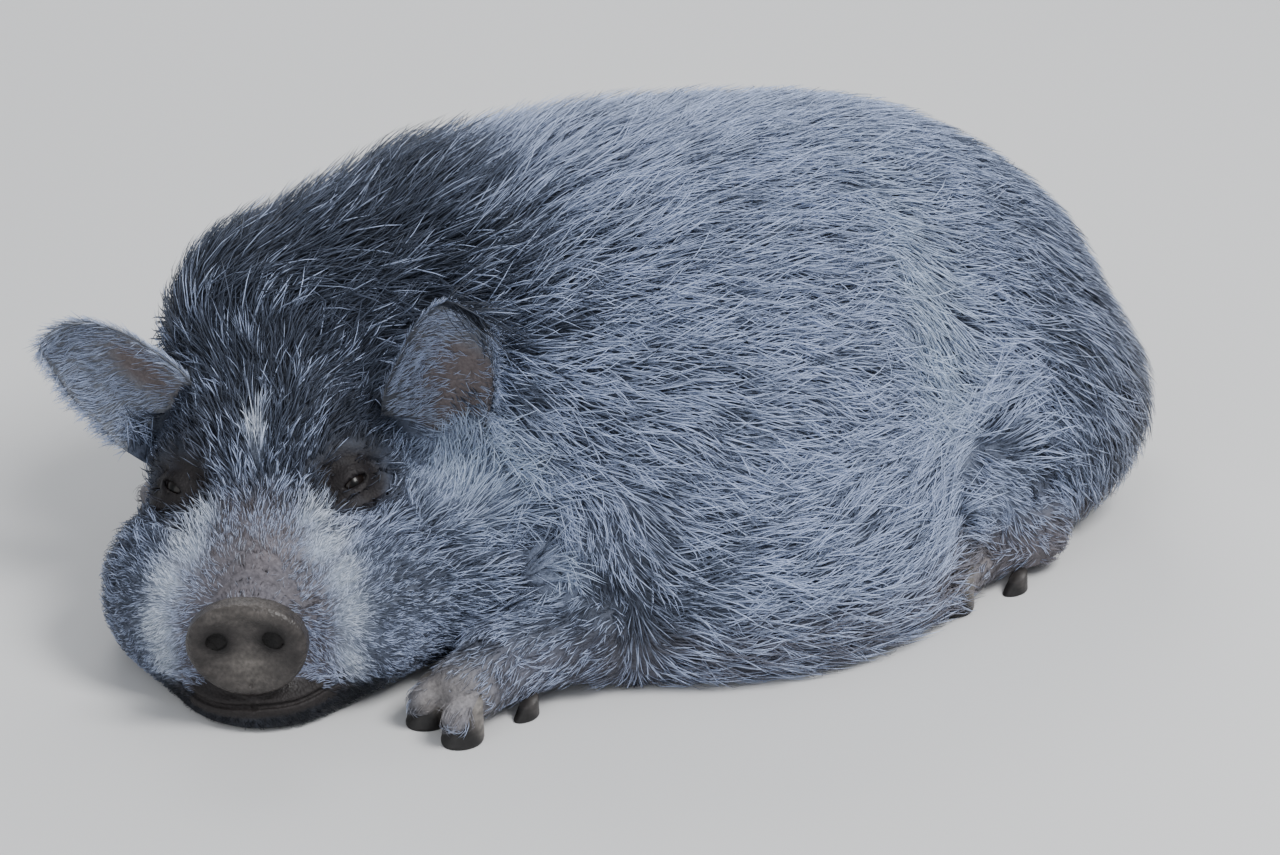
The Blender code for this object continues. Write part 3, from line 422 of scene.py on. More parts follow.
def face_details(plain):
    """Everything that is finer than the masses: folds, lids, sockets, disc, nostrils and mouth."""
    forms = []
    mouth = {side: face_path(MOUTH_ROUTE, side, MOUTH_STEPS, plain) for side in (-1, 1)}
    for side in (-1, 1):
        centre, axes = eye_frame(side, plain)
        outward = axes[:, 2]
        forms.append(Ball(centre + outward * SOCKET_OUT, SOCKET_RADII, axes=axes, blend=0.010, carve=True))
        for radius, blend, carve, sink, places in FACE_FOLDS:
            route = face_path(places, side, 12, plain)
            if sink:
                route = onto_skin(route, plain, 4, -sink)
            forms.append(Cord(route, radius * tapered(12), blend, carve))
        forms.append(Ball(centre, (EYE_RADIUS + LID_THICKNESS,) * 3, axes=axes, blend=0.0090))
        tilt = np.array(Matrix.Rotation(math.radians(EYE_TILT * side), 3, Vector(outward)))
        slit = tilt @ axes
        opening = centre - slit[:, 1] * 0.0010 + outward * EYE_RADIUS
        forms.append(Ball(opening, EYE_OPENING, axes=slit, blend=0.0012, carve=True))
        for shift, radius in LIPS:
            route = onto_skin(mouth[side] + HEAD_AXES[:, 2] * shift, plain, 4, -LIP_SINK)
            forms.append(Cord(route, np.linspace(radius, 0.15 * radius, MOUTH_STEPS), 0.005))
    for x, half, radius in WRINKLES:
        route = [(x + 0.004, -half, 0.072), (x - 0.003, -0.5 * half, 0.085), (x - 0.005, 0, 0.090)]
        route += [(x - 0.003, 0.5 * half, 0.085), (x + 0.004, half, 0.072)]
        forms.append(Cord(face_path(route, 1, 14, plain), np.full(14, radius), 0.0045, True))
    forms.append(Disc())
    for side in (-1, 1):
        forms.append(Cord(mouth[side], np.linspace(0.0014, 0.0004, MOUTH_STEPS), 0.0024, True))
        rim = (-0.0040, side * 0.0176, DISC_MIDDLE_Z + 0.0078)
        hole = (-0.003, side * 0.0174, DISC_MIDDLE_Z + 0.0080)
        forms.append(head_ball(rim, (0.0058, 0.0112, 0.0102), blend=0.0030))
        forms.append(head_ball(hole, (0.0150, 0.0068, 0.0058), blend=0.0016, carve=True, roll=-side * 28))
    cleft = [(0.0006, 0, DISC_MIDDLE_Z - 0.010), (0.0006, 0, DISC_MIDDLE_Z - 0.022), (-0.006, 0, 0.0245)]
    forms.append(Cord(from_head(cleft), (0.0007, 0.0008, 0.0008), 0.0024, True))
    return forms


# Folds carved into the body: radius, blend and path in the animal's frame
BODY_FOLDS = (
    (0.004, 0.022,
     ((-0.175, -0.135, 0.110), (-0.140, -0.172, 0.085), (-0.120, -0.190, 0.052), (-0.120, -0.200, 0.020))),
    (0.004, 0.020, ((-0.205, -0.118, 0.125), (-0.165, -0.150, 0.100), (-0.150, -0.165, 0.060))),
    (0.004, 0.026, ((0.150, -0.190, 0.105), (0.128, -0.205, 0.070), (0.105, -0.215, 0.030))),
    (0.003, 0.018,
     ((0.232, -0.150, 0.075), (0.205, -0.170, 0.058), (0.165, -0.185, 0.046), (0.120, -0.200, 0.030))),
    (0.004, 0.026, ((0.150, 0.190, 0.105), (0.128, 0.205, 0.070), (0.105, 0.212, 0.030))),
    (0.004, 0.022, ((-0.140, 0.168, 0.085), (-0.120, 0.186, 0.052), (-0.125, 0.190, 0.022))),
)


def body_details(plain):
    forms = []
    for radius, blend, places in BODY_FOLDS:
        route = onto_skin(smooth_path(places, 12), plain, 10)
        forms.append(Cord(route, radius * tapered(12), blend, True))
    return forms


def read(items, name, width, kind=np.float32):
    """One property of every item in a mesh's list, as an array with this many columns."""
    flat = np.empty(len(items) * width, kind)
    items.foreach_get(name, flat)
    return flat.reshape(-1, width)


def coordinates(mesh):
    return read(mesh.vertices, "co", 3).astype(float)


def set_coordinates(mesh, points):
    mesh.vertices.foreach_set("co", points.astype(np.float32).ravel())
    mesh.update()


def applied(obj, modifiers):
    """The object with these modifiers applied to its mesh. Each is (type, settings)."""
    for kind, settings in modifiers:
        modifier = obj.modifiers.new(kind.title(), kind)
        for name, value in settings.items():
            setattr(modifier, name, value)
    evaluated = obj.evaluated_get(bpy.context.evaluated_depsgraph_get())
    mesh = bpy.data.meshes.new_from_object(evaluated)
    obj.modifiers.clear()
    old = obj.data
    obj.data = mesh
    bpy.data.meshes.remove(old)
    return obj


def linked(name, data):
    obj = bpy.data.objects.new(name, data)
    bpy.context.scene.collection.objects.link(obj)
    return obj


def mesh_object(name, mesh):
    data = bpy.data.meshes.new(name)
    mesh.to_mesh(data)
    mesh.free()
    return linked(name, data)


def mesh_from(name, points, faces):
    """A mesh object from arrays of points and of triangles."""
    data = bpy.data.meshes.new(name)
    data.vertices.add(len(points))
    data.vertices.foreach_set("co", points.astype(np.float32).ravel())
    data.loops.add(faces.size)
    data.loops.foreach_set("vertex_index", faces.astype(np.int32).ravel())
    data.polygons.add(len(faces))
    data.polygons.foreach_set("loop_start", np.arange(0, faces.size, faces.shape[1], dtype=np.int32))
    data.update(calc_edges=True)
    data.validate()
    return linked(name, data)


# The skin
def refined(obj, wanted):
    """The mesh with the edges whose middles are wanted cut in two."""
    mesh = bmesh.new()
    mesh.from_mesh(obj.data)
    middles = np.array([(edge.verts[0].co + edge.verts[1].co) * 0.5 for edge in mesh.edges])
    chosen = wanted(middles)
    edges = [edge for edge, take in zip(mesh.edges, chosen) if take]
    bmesh.ops.subdivide_edges(mesh, edges=edges, cuts=1, use_grid_fill=True)
    big = [face for face in mesh.faces if len(face.verts) > 4]
    bmesh.ops.triangulate(mesh, faces=big)
    mesh.to_mesh(obj.data)
    mesh.free()
    return obj


def in_head(points):
    local = to_head(points)
    return (local[:, 0] > -0.205) & (np.abs(local[:, 1]) < 0.125) & (local[:, 2] < 0.18)


def in_face(points):
    local = to_head(points)
    return (local[:, 0] > -0.150) & (np.abs(local[:, 1]) < 0.090) & (local[:, 2] < 0.140)


def in_fine_face(points):
    local, folded = folded_head(points)
    x, _, z = local.T
    wide = folded[:, 1]
    nose = (x > -0.016) & (wide < 0.034) & (np.abs(z - 0.050) < 0.040)
    lips = (x > -0.068) & (wide < 0.085) & (np.abs(z - 0.0208) < 0.0085)
    return (eye_distance(folded) < 0.021) | nose | lips


def make_skin():
    trunk, head, legs = trunk_masses(), head_masses(), leg_masses()
    plain = trunk + head
    for cords in legs.values():
        plain = plain + cords
    plain += [tail_cord(), Disc()]
    mesh = bmesh.new()
    for form in plain:
        form.add_to(mesh)
    obj = mesh_object("skin", mesh)
    for size in (1.3 * BODY_VOXEL, BODY_VOXEL):
        applied(obj, [("REMESH", {"mode": "VOXEL", "voxel_size": size})])
        set_coordinates(obj.data, onto_skin(coordinates(obj.data), plain, 4, 0.0, 0.01))
    base = trunk + head
    detailed = plain[:-1] + body_details(base) + face_details(base)
    refined(obj, in_head)
    refined(obj, in_face)
    set_coordinates(obj.data, onto_skin(coordinates(obj.data), detailed, 3))
    refined(obj, in_fine_face)
    points = coordinates(obj.data)
    near = in_head(points) & (to_head(points)[:, 0] > -0.19)
    points[near] = onto_skin(points[near], detailed, 4, 0.0, 0.002)
    points[:, 2] = np.where(points[:, 2] < 0.0004, 0, points[:, 2])
    set_coordinates(obj.data, points)
    return obj, detailed


# The ears
EAR_ROWS = 34
EAR_JOIN = 0.060


def make_ear(side):
    """A short upright ear: a curved leaf, cupped forward and outward, with its rim rolled at the tip."""
    base, tip = from_head(EARS[side][0]), from_head(EARS[side][1])
    ear_length, sideways = EARS[side][2:]
    along = unit(tip - base)
    opening = HEAD_AXES @ np.array((0.86, sideways, 0.30))
    opening = unit(opening - along * (opening @ along))
    across = np.cross(opening, along) * side
    up, share = np.meshgrid(np.linspace(0, 1, EAR_ROWS), np.linspace(-1, 1, EAR_ROWS), indexing="ij")
    half = 0.5 * EAR_WIDTH * np.sqrt(np.sin(math.pi * (0.28 + 0.68 * up)))
    half *= 1 + 0.018 * np.sin(17 * up + 2 * share)
    bend = 0.95 - 0.40 * up
    sweep = share * bend
    wide = half * np.sin(sweep) / np.sin(bend)
    cup = half * (1 - np.cos(sweep)) * 0.9
    height = (up * 1.22 - 0.22) * ear_length + 0.004 * np.cos(sweep)
    back = -0.006 * np.sin(math.pi * up)
    ridge = 0.0011 * np.exp(-(((share - 0.25) / 0.10) ** 2))
    ridge = ridge - 0.0013 * np.exp(-(((share + 0.30) / 0.16) ** 2))
    roll = 0.006 * smooth_step(up, 0.86, 1.0) + 0.0030 * smooth_step(np.abs(share), 0.86, 1.0)
    sheets = []
    for thick in (0.5, -0.5):
        wall = EAR_THICKNESS * (1 - 0.45 * np.abs(share)) * (1 - 0.35 * up) * thick * 0.9
        depth = cup + back + wall + ridge * np.sin(math.pi * up) + roll
        places = base + along * height[..., None] + across * wide[..., None] + opening * depth[..., None]
        sheets.append(places.reshape(-1, 3))
    points = np.vstack(sheets)
    count = EAR_ROWS * EAR_ROWS
    index = np.arange(count).reshape(EAR_ROWS, EAR_ROWS)
    quads = np.stack([index[:-1, :-1], index[:-1, 1:], index[1:, 1:], index[1:, :-1]], -1).reshape(-1, 4)
    edge = list(index[:, 0]) + list(index[-1, 1:]) + list(index[-2::-1, -1]) + list(index[0, -2:0:-1])
    edge = np.array(edge)
    after = np.roll(edge, -1)
    wall = np.stack([edge, after, after + count, edge + count], 1)
    obj = mesh_from("ear", points, np.vstack([quads, quads[:, ::-1] + count, wall]))
    mesh = bmesh.new()
    mesh.from_mesh(obj.data)
    bmesh.ops.recalc_face_normals(mesh, faces=mesh.faces[:])
    bpy.data.objects.remove(obj)
    ear = mesh_object("ear", mesh)
    return applied(ear, [("SUBSURF", {"levels": 1, "render_levels": 1})]), base, along, across, opening


def joined_ears(skin, forms):
    """The ears fused to the skin and the join smoothed."""
    frames = {}
    for side in (-1, 1):
        ear, base, along, across, opening = make_ear(side)
        applied(skin, [("BOOLEAN", {"operation": "UNION", "object": ear, "solver": "MANIFOLD"})])
        bpy.data.objects.remove(ear)
        frames[side] = (base, along, across, opening)
    points = coordinates(skin.data)
    away = field(points, forms)
    for base, *_ in frames.values():
        near = (np.linalg.norm(points - base, axis=1) < EAR_JOIN) & (away > 0.0003) & (away < 0.009)
        mesh = bmesh.new()
        mesh.from_mesh(skin.data)
        mesh.verts.ensure_lookup_table()
        chosen = [mesh.verts[index] for index in np.flatnonzero(near)]
        for _ in range(6):
            bmesh.ops.smooth_vert(
                mesh, verts=chosen, factor=0.5, use_axis_x=True, use_axis_y=True, use_axis_z=True
            )
        mesh.to_mesh(skin.data)
        mesh.free()
    return frames


# Markings
def blob(points, centre, radius):
    """A soft spot: 1 at its centre and a quarter at its radius, which may differ along each axis."""
    away = (points - np.array(centre)) / np.array(radius)
    return np.exp(-1.4 * np.sum(away * away, axis=1))


def waves(points, scale, seed):
    """Smooth, seeded wandering between about -1 and 1, with a wavelength of about the scale."""
    draw = np.random.default_rng(seed)
    total = np.zeros(len(points))
    for _ in range(6):
        way = unit(draw.normal(size=3)) * 2 * math.pi / (scale * draw.uniform(0.75, 1.4))
        total += np.sin(points @ way + draw.uniform(0, 2 * math.pi))
    return total / 3.2


# The blue in the coat's blacks, greys and whites (CHARCOAL, SKY, SLATE, STEEL, FROST, SILVER, WHITE, PEARL)
# is painted sky light; the coat's own colours are black, grey and white.
CHARCOAL = np.array((0.012, 0.016, 0.026))
FOOT_GREY = np.array((0.215, 0.200, 0.196))
SKY = np.array((0.260, 0.310, 0.430))
SLATE = np.array((0.036, 0.045, 0.068))
STEEL = np.array((0.080, 0.097, 0.138))
FROST = np.array((0.66, 0.79, 1.0))
BROWN = np.array((0.070, 0.062, 0.054))
UMBER = np.array((0.008, 0.006, 0.007))
ROSE = np.array((0.110, 0.088, 0.082))
SILVER = np.array((0.55, 0.655, 0.93))
WHITE = np.array((0.80, 0.87, 1.0))
PEARL = np.array((0.27, 0.31, 0.38))
DUN = np.array((0.36, 0.35, 0.33))
EAR_GREY = np.array((0.085, 0.092, 0.108))
EAR_ROSE = np.array((0.135, 0.114, 0.114))
MAUVE = np.array((0.120, 0.104, 0.108))


def mixed(first, second, share):
    return first + (second - first) * np.clip(share, 0, 1)[:, None]


# What lies inside the first ball is coloured and combed as head; the coat inside these balls goes into the
# head's and the neck's pieces
HEAD_CUT_BALL = Ball(from_head((-0.060, 0.0, 0.085)), (0.142, 0.130, 0.160), axes=HEAD_AXES)
NECK_CUT_BALL = Ball((-0.225, 0.030, 0.115), (0.115, 0.175, 0.190), yaw=20)

# Named spots of the head in its own frame, on its left side: place, radius
STAR_SPOT = (STAR_AT, (0.013, 0.0050, 0.013))
# The dark patch round each eye: the skin's own dark colour, deepened as painted shade of the hollow under the
# brow
EYE_PATCH_AND_SHADE = ((-0.116, 0.053, 0.105), (0.027, 0.032, 0.024))
MUZZLE_BAND = (
    ((-0.083, 0.033, 0.100), (0.013, 0.010, 0.013)),
    ((-0.069, 0.042, 0.090), (0.016, 0.013, 0.016)),
    ((-0.052, 0.054, 0.075), (0.016, 0.011, 0.017)),
    ((-0.037, 0.059, 0.056), (0.017, 0.011, 0.019)),
    ((-0.029, 0.057, 0.036), (0.016, 0.010, 0.016)),
)
BRIDGE = (((-0.020, 0.0, 0.086), (0.032, 0.044, 0.022)), ((-0.049, 0.0, 0.091), (0.020, 0.026, 0.018)))

# The ridge of the hip, painted pale as a sheen on the coat, in the animal's frame, and the middle of each
# foot's toes
HIP_RIDGE = ((0.104, -0.130, 0.185), (0.030, 0.10, 0.085))
FEET = []
for *_, joint, foot in (*FORELEGS.values(), *HINDLEGS.values()):
    FEET.append(np.array(foot) + 0.014 * unit(np.array(foot) - np.array(joint)))


def foot_share(points):
    """How near each point is to the toes of a foot."""
    return np.clip(1.5 * largest_blob(points, [(foot, (0.030, 0.030, 0.026)) for foot in FEET]), 0, 1)


def largest_blob(points, spots):
    share = np.zeros(len(points))
    for centre, radius in spots:
        share = np.maximum(share, blob(points, centre, radius))
    return share


class Looks:
    """At each point: undercoat colour, bristle tip colour and the share of pale bristles."""

    def __init__(self, count):
        self.under = np.tile(SLATE, (count, 1))
        self.tips = np.tile(SILVER, (count, 1))
        self.pale = np.full(count, 0.80)

    def paint(self, share, under=None, depth=1.0, tips=None, tip_depth=1.0, pale=None):
        """The share of each point drawn to these colours, and to this share of pale bristles."""
        if under is not None:
            self.under = mixed(self.under, under, depth * share)
        if tips is not None:
            self.tips = mixed(self.tips, tips, tip_depth * share)
        if pale is not None:
            self.pale = blended(self.pale, pale, share)


def paint_body(looks, points):
    x, _, z = points.T
    looks.pale -= 0.10 * smooth_step(-x, -0.10, 0.06)
    fore = smooth_step(0.035 * smooth_step(z, 0.17, 0.25) - x, 0.100, 0.190) * smooth_step(z, 0.10, 0.19)
    looks.paint(fore, CHARCOAL, 0.95)
    looks.pale -= 0.50 * fore
    arm = np.clip(1.3 * blob(points, (-0.108, -0.186, 0.062), (0.040, 0.030, 0.036)), 0, 1)
    looks.paint(arm, CHARCOAL, 0.8)
    looks.pale -= 0.34 * arm
    # Painted sheen along the hip ridge: a paler, bluer coat with frosted tips and more pale bristles
    hip = np.clip(1.3 * blob(points, *HIP_RIDGE), 0, 1)
    looks.paint(hip, 0.6 * SKY, tips=FROST)
    looks.pale += 0.22 * hip
    looks.pale -= 0.27 * smooth_step(x, 0.150, 0.215) * smooth_step(z, 0.04, 0.09)
    flanks = [blob(points, (0.02, side * 0.20, 0.10), (0.14, 0.10, 0.09)) for side in (-1, 1)]
    looks.paint(flanks[0] + flanks[1], STEEL, 0.45)
    rump = smooth_step(x, 0.20, 0.31) * smooth_step(-z, -0.22, -0.08)
    looks.paint(rump, BROWN, 0.75, DUN, 0.55)


def paint_head(looks, points, head, local, folded):
    x, _, z = local.T
    wide = folded[:, 1]
    looks.paint(head * smooth_step(z, 0.095, 0.125), CHARCOAL, 0.9, pale=0.25)
    brow = np.clip(1.3 * head * blob(folded, (-0.098, 0.0, 0.118), (0.030, 0.034, 0.026)), 0, 1)
    looks.paint(brow, SLATE, 0.8, pale=0.52)
    cheek = head * smooth_step(-z, -0.100, -0.080) * smooth_step(wide, 0.045, 0.075)
    looks.paint(cheek, SLATE, pale=0.48)
    looks.pale += 0.22 * (head * blob(local, (-0.052, 0.098, 0.034), (0.040, 0.030, 0.030)))
    throat = np.clip(1.6 * blob(points, (-0.158, -0.070, 0.112), (0.040, 0.045, 0.038)), 0, 1)
    throat = np.maximum(throat, blob(points, (-0.138, -0.148, 0.080), (0.018, 0.018, 0.022)))
    looks.paint(throat, SKY, tips=FROST, pale=0.97)
    muzzle = head * smooth_step(x, -0.105, -0.070) * smooth_step(-wide, -0.062, -0.046)
    looks.paint(muzzle, ROSE * 0.8, 0.85)
    band = np.clip(1.35 * (largest_blob(folded, MUZZLE_BAND) * head), 0, 1)
    looks.paint(band, PEARL, tips=WHITE, pale=0.95)
    star = np.clip(1.4 * head * blob(local, *STAR_SPOT), 0, 1)
    looks.paint(star, PEARL, 0.9, WHITE, pale=0.97)
    looks.paint(largest_blob(folded, BRIDGE) * head, ROSE, 0.9, DUN, 0.7)
    # Dark patch round the eye, partly the skin's own colour and partly painted shade of the eye's hollow,
    # with no pale bristles
    looks.paint(np.clip(1.8 * head * blob(folded, *EYE_PATCH_AND_SHADE), 0, 1), UMBER, pale=0.0)
    # Under the chin: the jaw's dark hair with painted shade of the head's underside, near black with few pale
    # bristles
    jaw_dark_and_shade = head * smooth_step(-z, -0.024, -0.015) * smooth_step(x, -0.058, -0.026)
    jaw_dark_and_shade *= smooth_step(-wide, -0.082, -0.068)
    looks.paint(jaw_dark_and_shade, CHARCOAL * 0.6, 0.95, CHARCOAL)
    looks.pale *= 1 - 0.9 * jaw_dark_and_shade


def paint_legs(looks, points, head):
    x, y, z = points.T
    leg = smooth_step(-z, -0.060, -0.030) * (1 - head) * smooth_step(np.abs(y), 0.115, 0.150)
    hind = smooth_step(x, 0.060, 0.100)
    looks.paint(leg, MAUVE, 0.45 + 0.45 * hind)
    looks.pale *= 1 - (0.25 + 0.35 * hind) * leg
    foot = foot_share(points)
    looks.paint(foot, FOOT_GREY, 0.85)
    looks.pale *= 1 - 0.7 * foot


def markings(points):
    """At each point: undercoat colour, bristle tip colour and the share of pale bristles."""
    local, folded = folded_head(points)
    head = smooth_step(-HEAD_CUT_BALL.distance(points), -0.030, 0.004)
    looks = Looks(len(points))
    paint_body(looks, points)
    paint_head(looks, points, head, local, folded)
    paint_legs(looks, points, head)
    shade = 1 + 0.16 * waves(points, 0.050, 5) + 0.16 * waves(points, 0.017, 6)
    patchy = 0.10 * waves(points, 0.035, 7) + 0.08 * waves(points, 0.013, 8)
    return looks.under * shade[:, None], looks.tips, np.clip(looks.pale + patchy, 0, 1)


# The unwrap of the skin and the coat, laid for their colours
BODY_LOW, HEAD_LOW = np.array((-0.37, -0.26, 0.0)), np.array((-0.26, -0.14, 0.0))
EAR_LOW = np.array((0.10, 0.03, 0.08))
BODY_SCALE, HEAD_SCALE, EAR_SCALE = 0.53, 0.80, 0.80
BODY_CHARTS = {(2, 1): (0.0, 0.0), (2, -1): (0.41, 0.0), (1, 1): (0.0, 0.285), (1, -1): (0.41, 0.285)}
BODY_CHARTS.update({(0, 1): (0.83, 0.0), (0, -1): (0.83, 0.285)})
HEAD_CHARTS = {(0, 1): (0.0, 0.57), (0, -1): (0.24, 0.57), (1, 1): (0.48, 0.57), (1, -1): (0.73, 0.57)}
HEAD_CHARTS.update({(2, 1): (0.0, 0.77), (2, -1): (0.24, 0.77)})
EAR_CHARTS = {(-1, 1): (0.48, 0.80), (-1, -1): (0.61, 0.80), (1, 1): (0.74, 0.80), (1, -1): (0.87, 0.80)}


def chart_places(points, middles, normals, on_ear):
    """The points' places on the unwrap: six views of the body, six of the head and two of each ear.

    The middles and normals of the points' faces choose the chart.
    """
    local, own_normals = to_head(points), normals @ HEAD_AXES
    head = (HEAD_CUT_BALL.distance(middles) < 0) & ~on_ear
    places = np.zeros((len(points), 2))
    for group, charts, low, scale, where, ways in (
        (~head & ~on_ear, BODY_CHARTS, BODY_LOW, BODY_SCALE, points, normals),
        (head, HEAD_CHARTS, HEAD_LOW, HEAD_SCALE, local, own_normals),
    ):
        axis = np.argmax(np.abs(ways), axis=1)
        sign = np.where(ways[np.arange(len(ways)), axis] >= 0, 1, -1)
        for (which, facing), corner in charts.items():
            chosen = group & (axis == which) & (sign == facing)
            columns = {0: (1, 2), 1: (0, 2), 2: (0, 1)}[which]
            if which == 0 and charts is BODY_CHARTS:
                columns = (2, 1)
            places[chosen] = ((where[chosen] - low) * scale)[:, columns] + np.array(corner)
    middle_side = to_head(middles)[:, 1]
    for (side, facing), corner in EAR_CHARTS.items():
        chosen = on_ear & (middle_side * side > 0) & (own_normals[:, 0] * facing >= 0)
        spread = (np.abs(local[chosen]) - EAR_LOW) * EAR_SCALE
        places[chosen] = spread[:, (1, 2)] + np.array(corner)
    return np.clip(places, 0.002, 0.998)


def face_table(mesh):
    """Triangles of a mesh, with their normals and areas."""
    mesh.calc_loop_triangles()
    corners = coordinates(mesh)[read(mesh.loop_triangles, "vertices", 3, np.int32)]
    cross = np.cross(corners[:, 1] - corners[:, 0], corners[:, 2] - corners[:, 0])
    return corners, unit(cross), 0.5 * np.linalg.norm(cross, axis=1)


def ear_share(points, frames, forms):
    """True where a point stands on an ear, clear of the head's own skin."""
    on_ear = np.zeros(len(points), bool)
    for base, along, across, opening in frames.values():
        apart = points - base
        height, wide, deep = apart @ along, apart @ across, apart @ opening
        inside = (height > 0.000) & (height < 0.10) & (np.abs(wide) < 0.050)
        on_ear |= inside & (np.abs(deep - 0.006) < 0.034)
    near = np.flatnonzero(on_ear)
    on_ear[near] = field(points[near], forms) > 0.0022
    return on_ear


def set_colours(mesh, name, colours):
    attribute = mesh.color_attributes.new(name, "FLOAT_COLOR", "POINT")
    filled = np.ones((len(mesh.vertices), 4), np.float32)
    filled[:, :3] = colours
    attribute.data.foreach_set("color", filled.ravel())


def set_values(mesh, name, values):
    attribute = mesh.attributes.new(name, "FLOAT", "POINT")
    attribute.data.foreach_set("value", values.astype(np.float32))


def set_uv(mesh, places):
    layer = mesh.uv_layers.new(name="OFBake")
    layer.data.foreach_set("uv", places.astype(np.float32).ravel())


# The bare part of each ear's cup: its height, its place across and their radii
BARE_CUPS = {-1: ((0.034, 0.014), (0.030, 0.013)), 1: ((0.046, -0.010), (0.056, 0.028))}


def cup_share(points, normals, frames):
    """How much each point lies in the bare part of an ear's cup."""
    share = np.zeros(len(points))
    for side, (base, along, across, opening) in frames.items():
        apart = points - base
        flat = np.stack([apart @ along, apart @ across], 1)
        near = np.linalg.norm(apart, axis=1) < 0.12
        facing = smooth_step(normals @ opening, -0.1, 0.3)
        share = np.maximum(share, near * blob(flat, *BARE_CUPS[side]) * facing)
    return np.clip(1.6 * share, 0, 1)


def ear_colours(points, normals, frames, under, forms):
    """The ears' own colours: blue-grey outside, brown-pink in the bare cup, paler at the rim."""
    bare = cup_share(points, normals, frames)
    for side, (base, along, *_) in frames.items():
        chosen = ear_share(points, {side: frames[side]}, forms)
        grey = EAR_GREY * (1.0 if side > 0 else 1.9)
        colour = mixed(np.tile(grey, (len(points), 1)), EAR_ROSE, bare)
        rim = smooth_step((points - base) @ along, 0.064, 0.082)
        colour = mixed(colour, EAR_GREY * 1.7, 0.8 * rim)
        under[chosen] = colour[chosen]
    return under


NOSTRIL_SPOT = ((-0.009, 0.0174, 0.0642), (0.018, 0.0084, 0.0074))


def bare_share(points):
    """How bare and moist the skin is: 1 on the disc, a little on the lids."""
    local, folded = folded_head(points)
    disc = smooth_step(local[:, 0], -0.016, -0.009) * smooth_step(local[:, 2], 0.021, 0.027)
    disc *= folded[:, 1] < 0.060
    nostril = np.clip(3 * blob(folded, *NOSTRIL_SPOT), 0, 1)
    return np.maximum(disc * (1 - nostril), 0.15 * (eye_distance(folded) < 0.013))


# The disc's colours over its ground, the darkest of them painted shade inside the nostrils, each with its
# share, its place in the head's frame and its radii
DISC_GROUND = (0.052, 0.046, 0.043)
MOUTH_COLOUR = (0.016, 0.013, 0.013)
DISC_SPOTS = (
    ((0.120, 0.108, 0.098), 1, (0, 0.0, 0.047), (0.03, 0.015, 0.013)),
    ((0.078, 0.069, 0.063), 1, (0, 0.0, 0.082), (0.03, 0.030, 0.007)),
    (MOUTH_COLOUR, 1.6, (0, 0.0174, 0.0645), (0.03, 0.0132, 0.0115)),
    # painted shade inside the nostril holes
    ((0.002, 0.0015, 0.0015), 3, *NOSTRIL_SPOT),
    ((0.028, 0.024, 0.023), 1, (0, 0.030, 0.052), (0.02, 0.008, 0.016)),
)


def disc_colours(points, colours):
    """The disc's colours: brown-grey, paler below the nostrils, with painted shade inside them and a dark
    band round the mouth that holds painted shade under the disc.
    """
    local, folded = folded_head(points)
    x, _, z = local.T
    front = smooth_step(-folded[:, 1], -0.066, -0.056)
    disc = front * smooth_step(x, -0.0165, -0.0115) * smooth_step(z, 0.020, 0.026)
    base = np.tile(np.array(DISC_GROUND), (len(points), 1))
    for colour, share, centre, radii in DISC_SPOTS:
        base = mixed(base, np.array(colour), share * blob(folded, centre, radii))
    shade = 1 + 0.22 * waves(points, 0.012, 21) + 0.15 * waves(points, 0.005, 22)
    colours = mixed(colours, base * shade[:, None], disc)
    # A dark band round the mouth: the mouth's dark line and painted shade under the disc
    mouth = front * smooth_step(x, -0.030, -0.016) * smooth_step(-np.abs(z - 0.019), -0.011, -0.006)
    return mixed(colours, np.array(MOUTH_COLOUR), mouth)


def dress_skin(skin, frames, forms):
    mesh = skin.data
    points = coordinates(mesh)
    under, _, pale = markings(points)
    under = mixed(under, SILVER, 0.10 * pale)
    under = ear_colours(points, read(mesh.vertex_normals, "vector", 3).astype(float), frames, under, forms)
    set_colours(mesh, "Markings", disc_colours(points, under))
    set_values(mesh, "Bare", bare_share(points))
    middles = read(mesh.polygons, "center", 3).astype(float)
    normals = read(mesh.polygons, "normal", 3).astype(float)
    owner = np.repeat(np.arange(len(middles)), read(mesh.polygons, "loop_total", 1, np.int32)[:, 0])
    loops = read(mesh.loops, "vertex_index", 1, np.int32)[:, 0]
    on_ear = ear_share(middles, frames, forms)
    # every loop is placed by its own point, on the chart of its face
    set_uv(mesh, chart_places(points[loops], middles[owner], normals[owner], on_ear[owner]))
    mesh.shade_smooth()


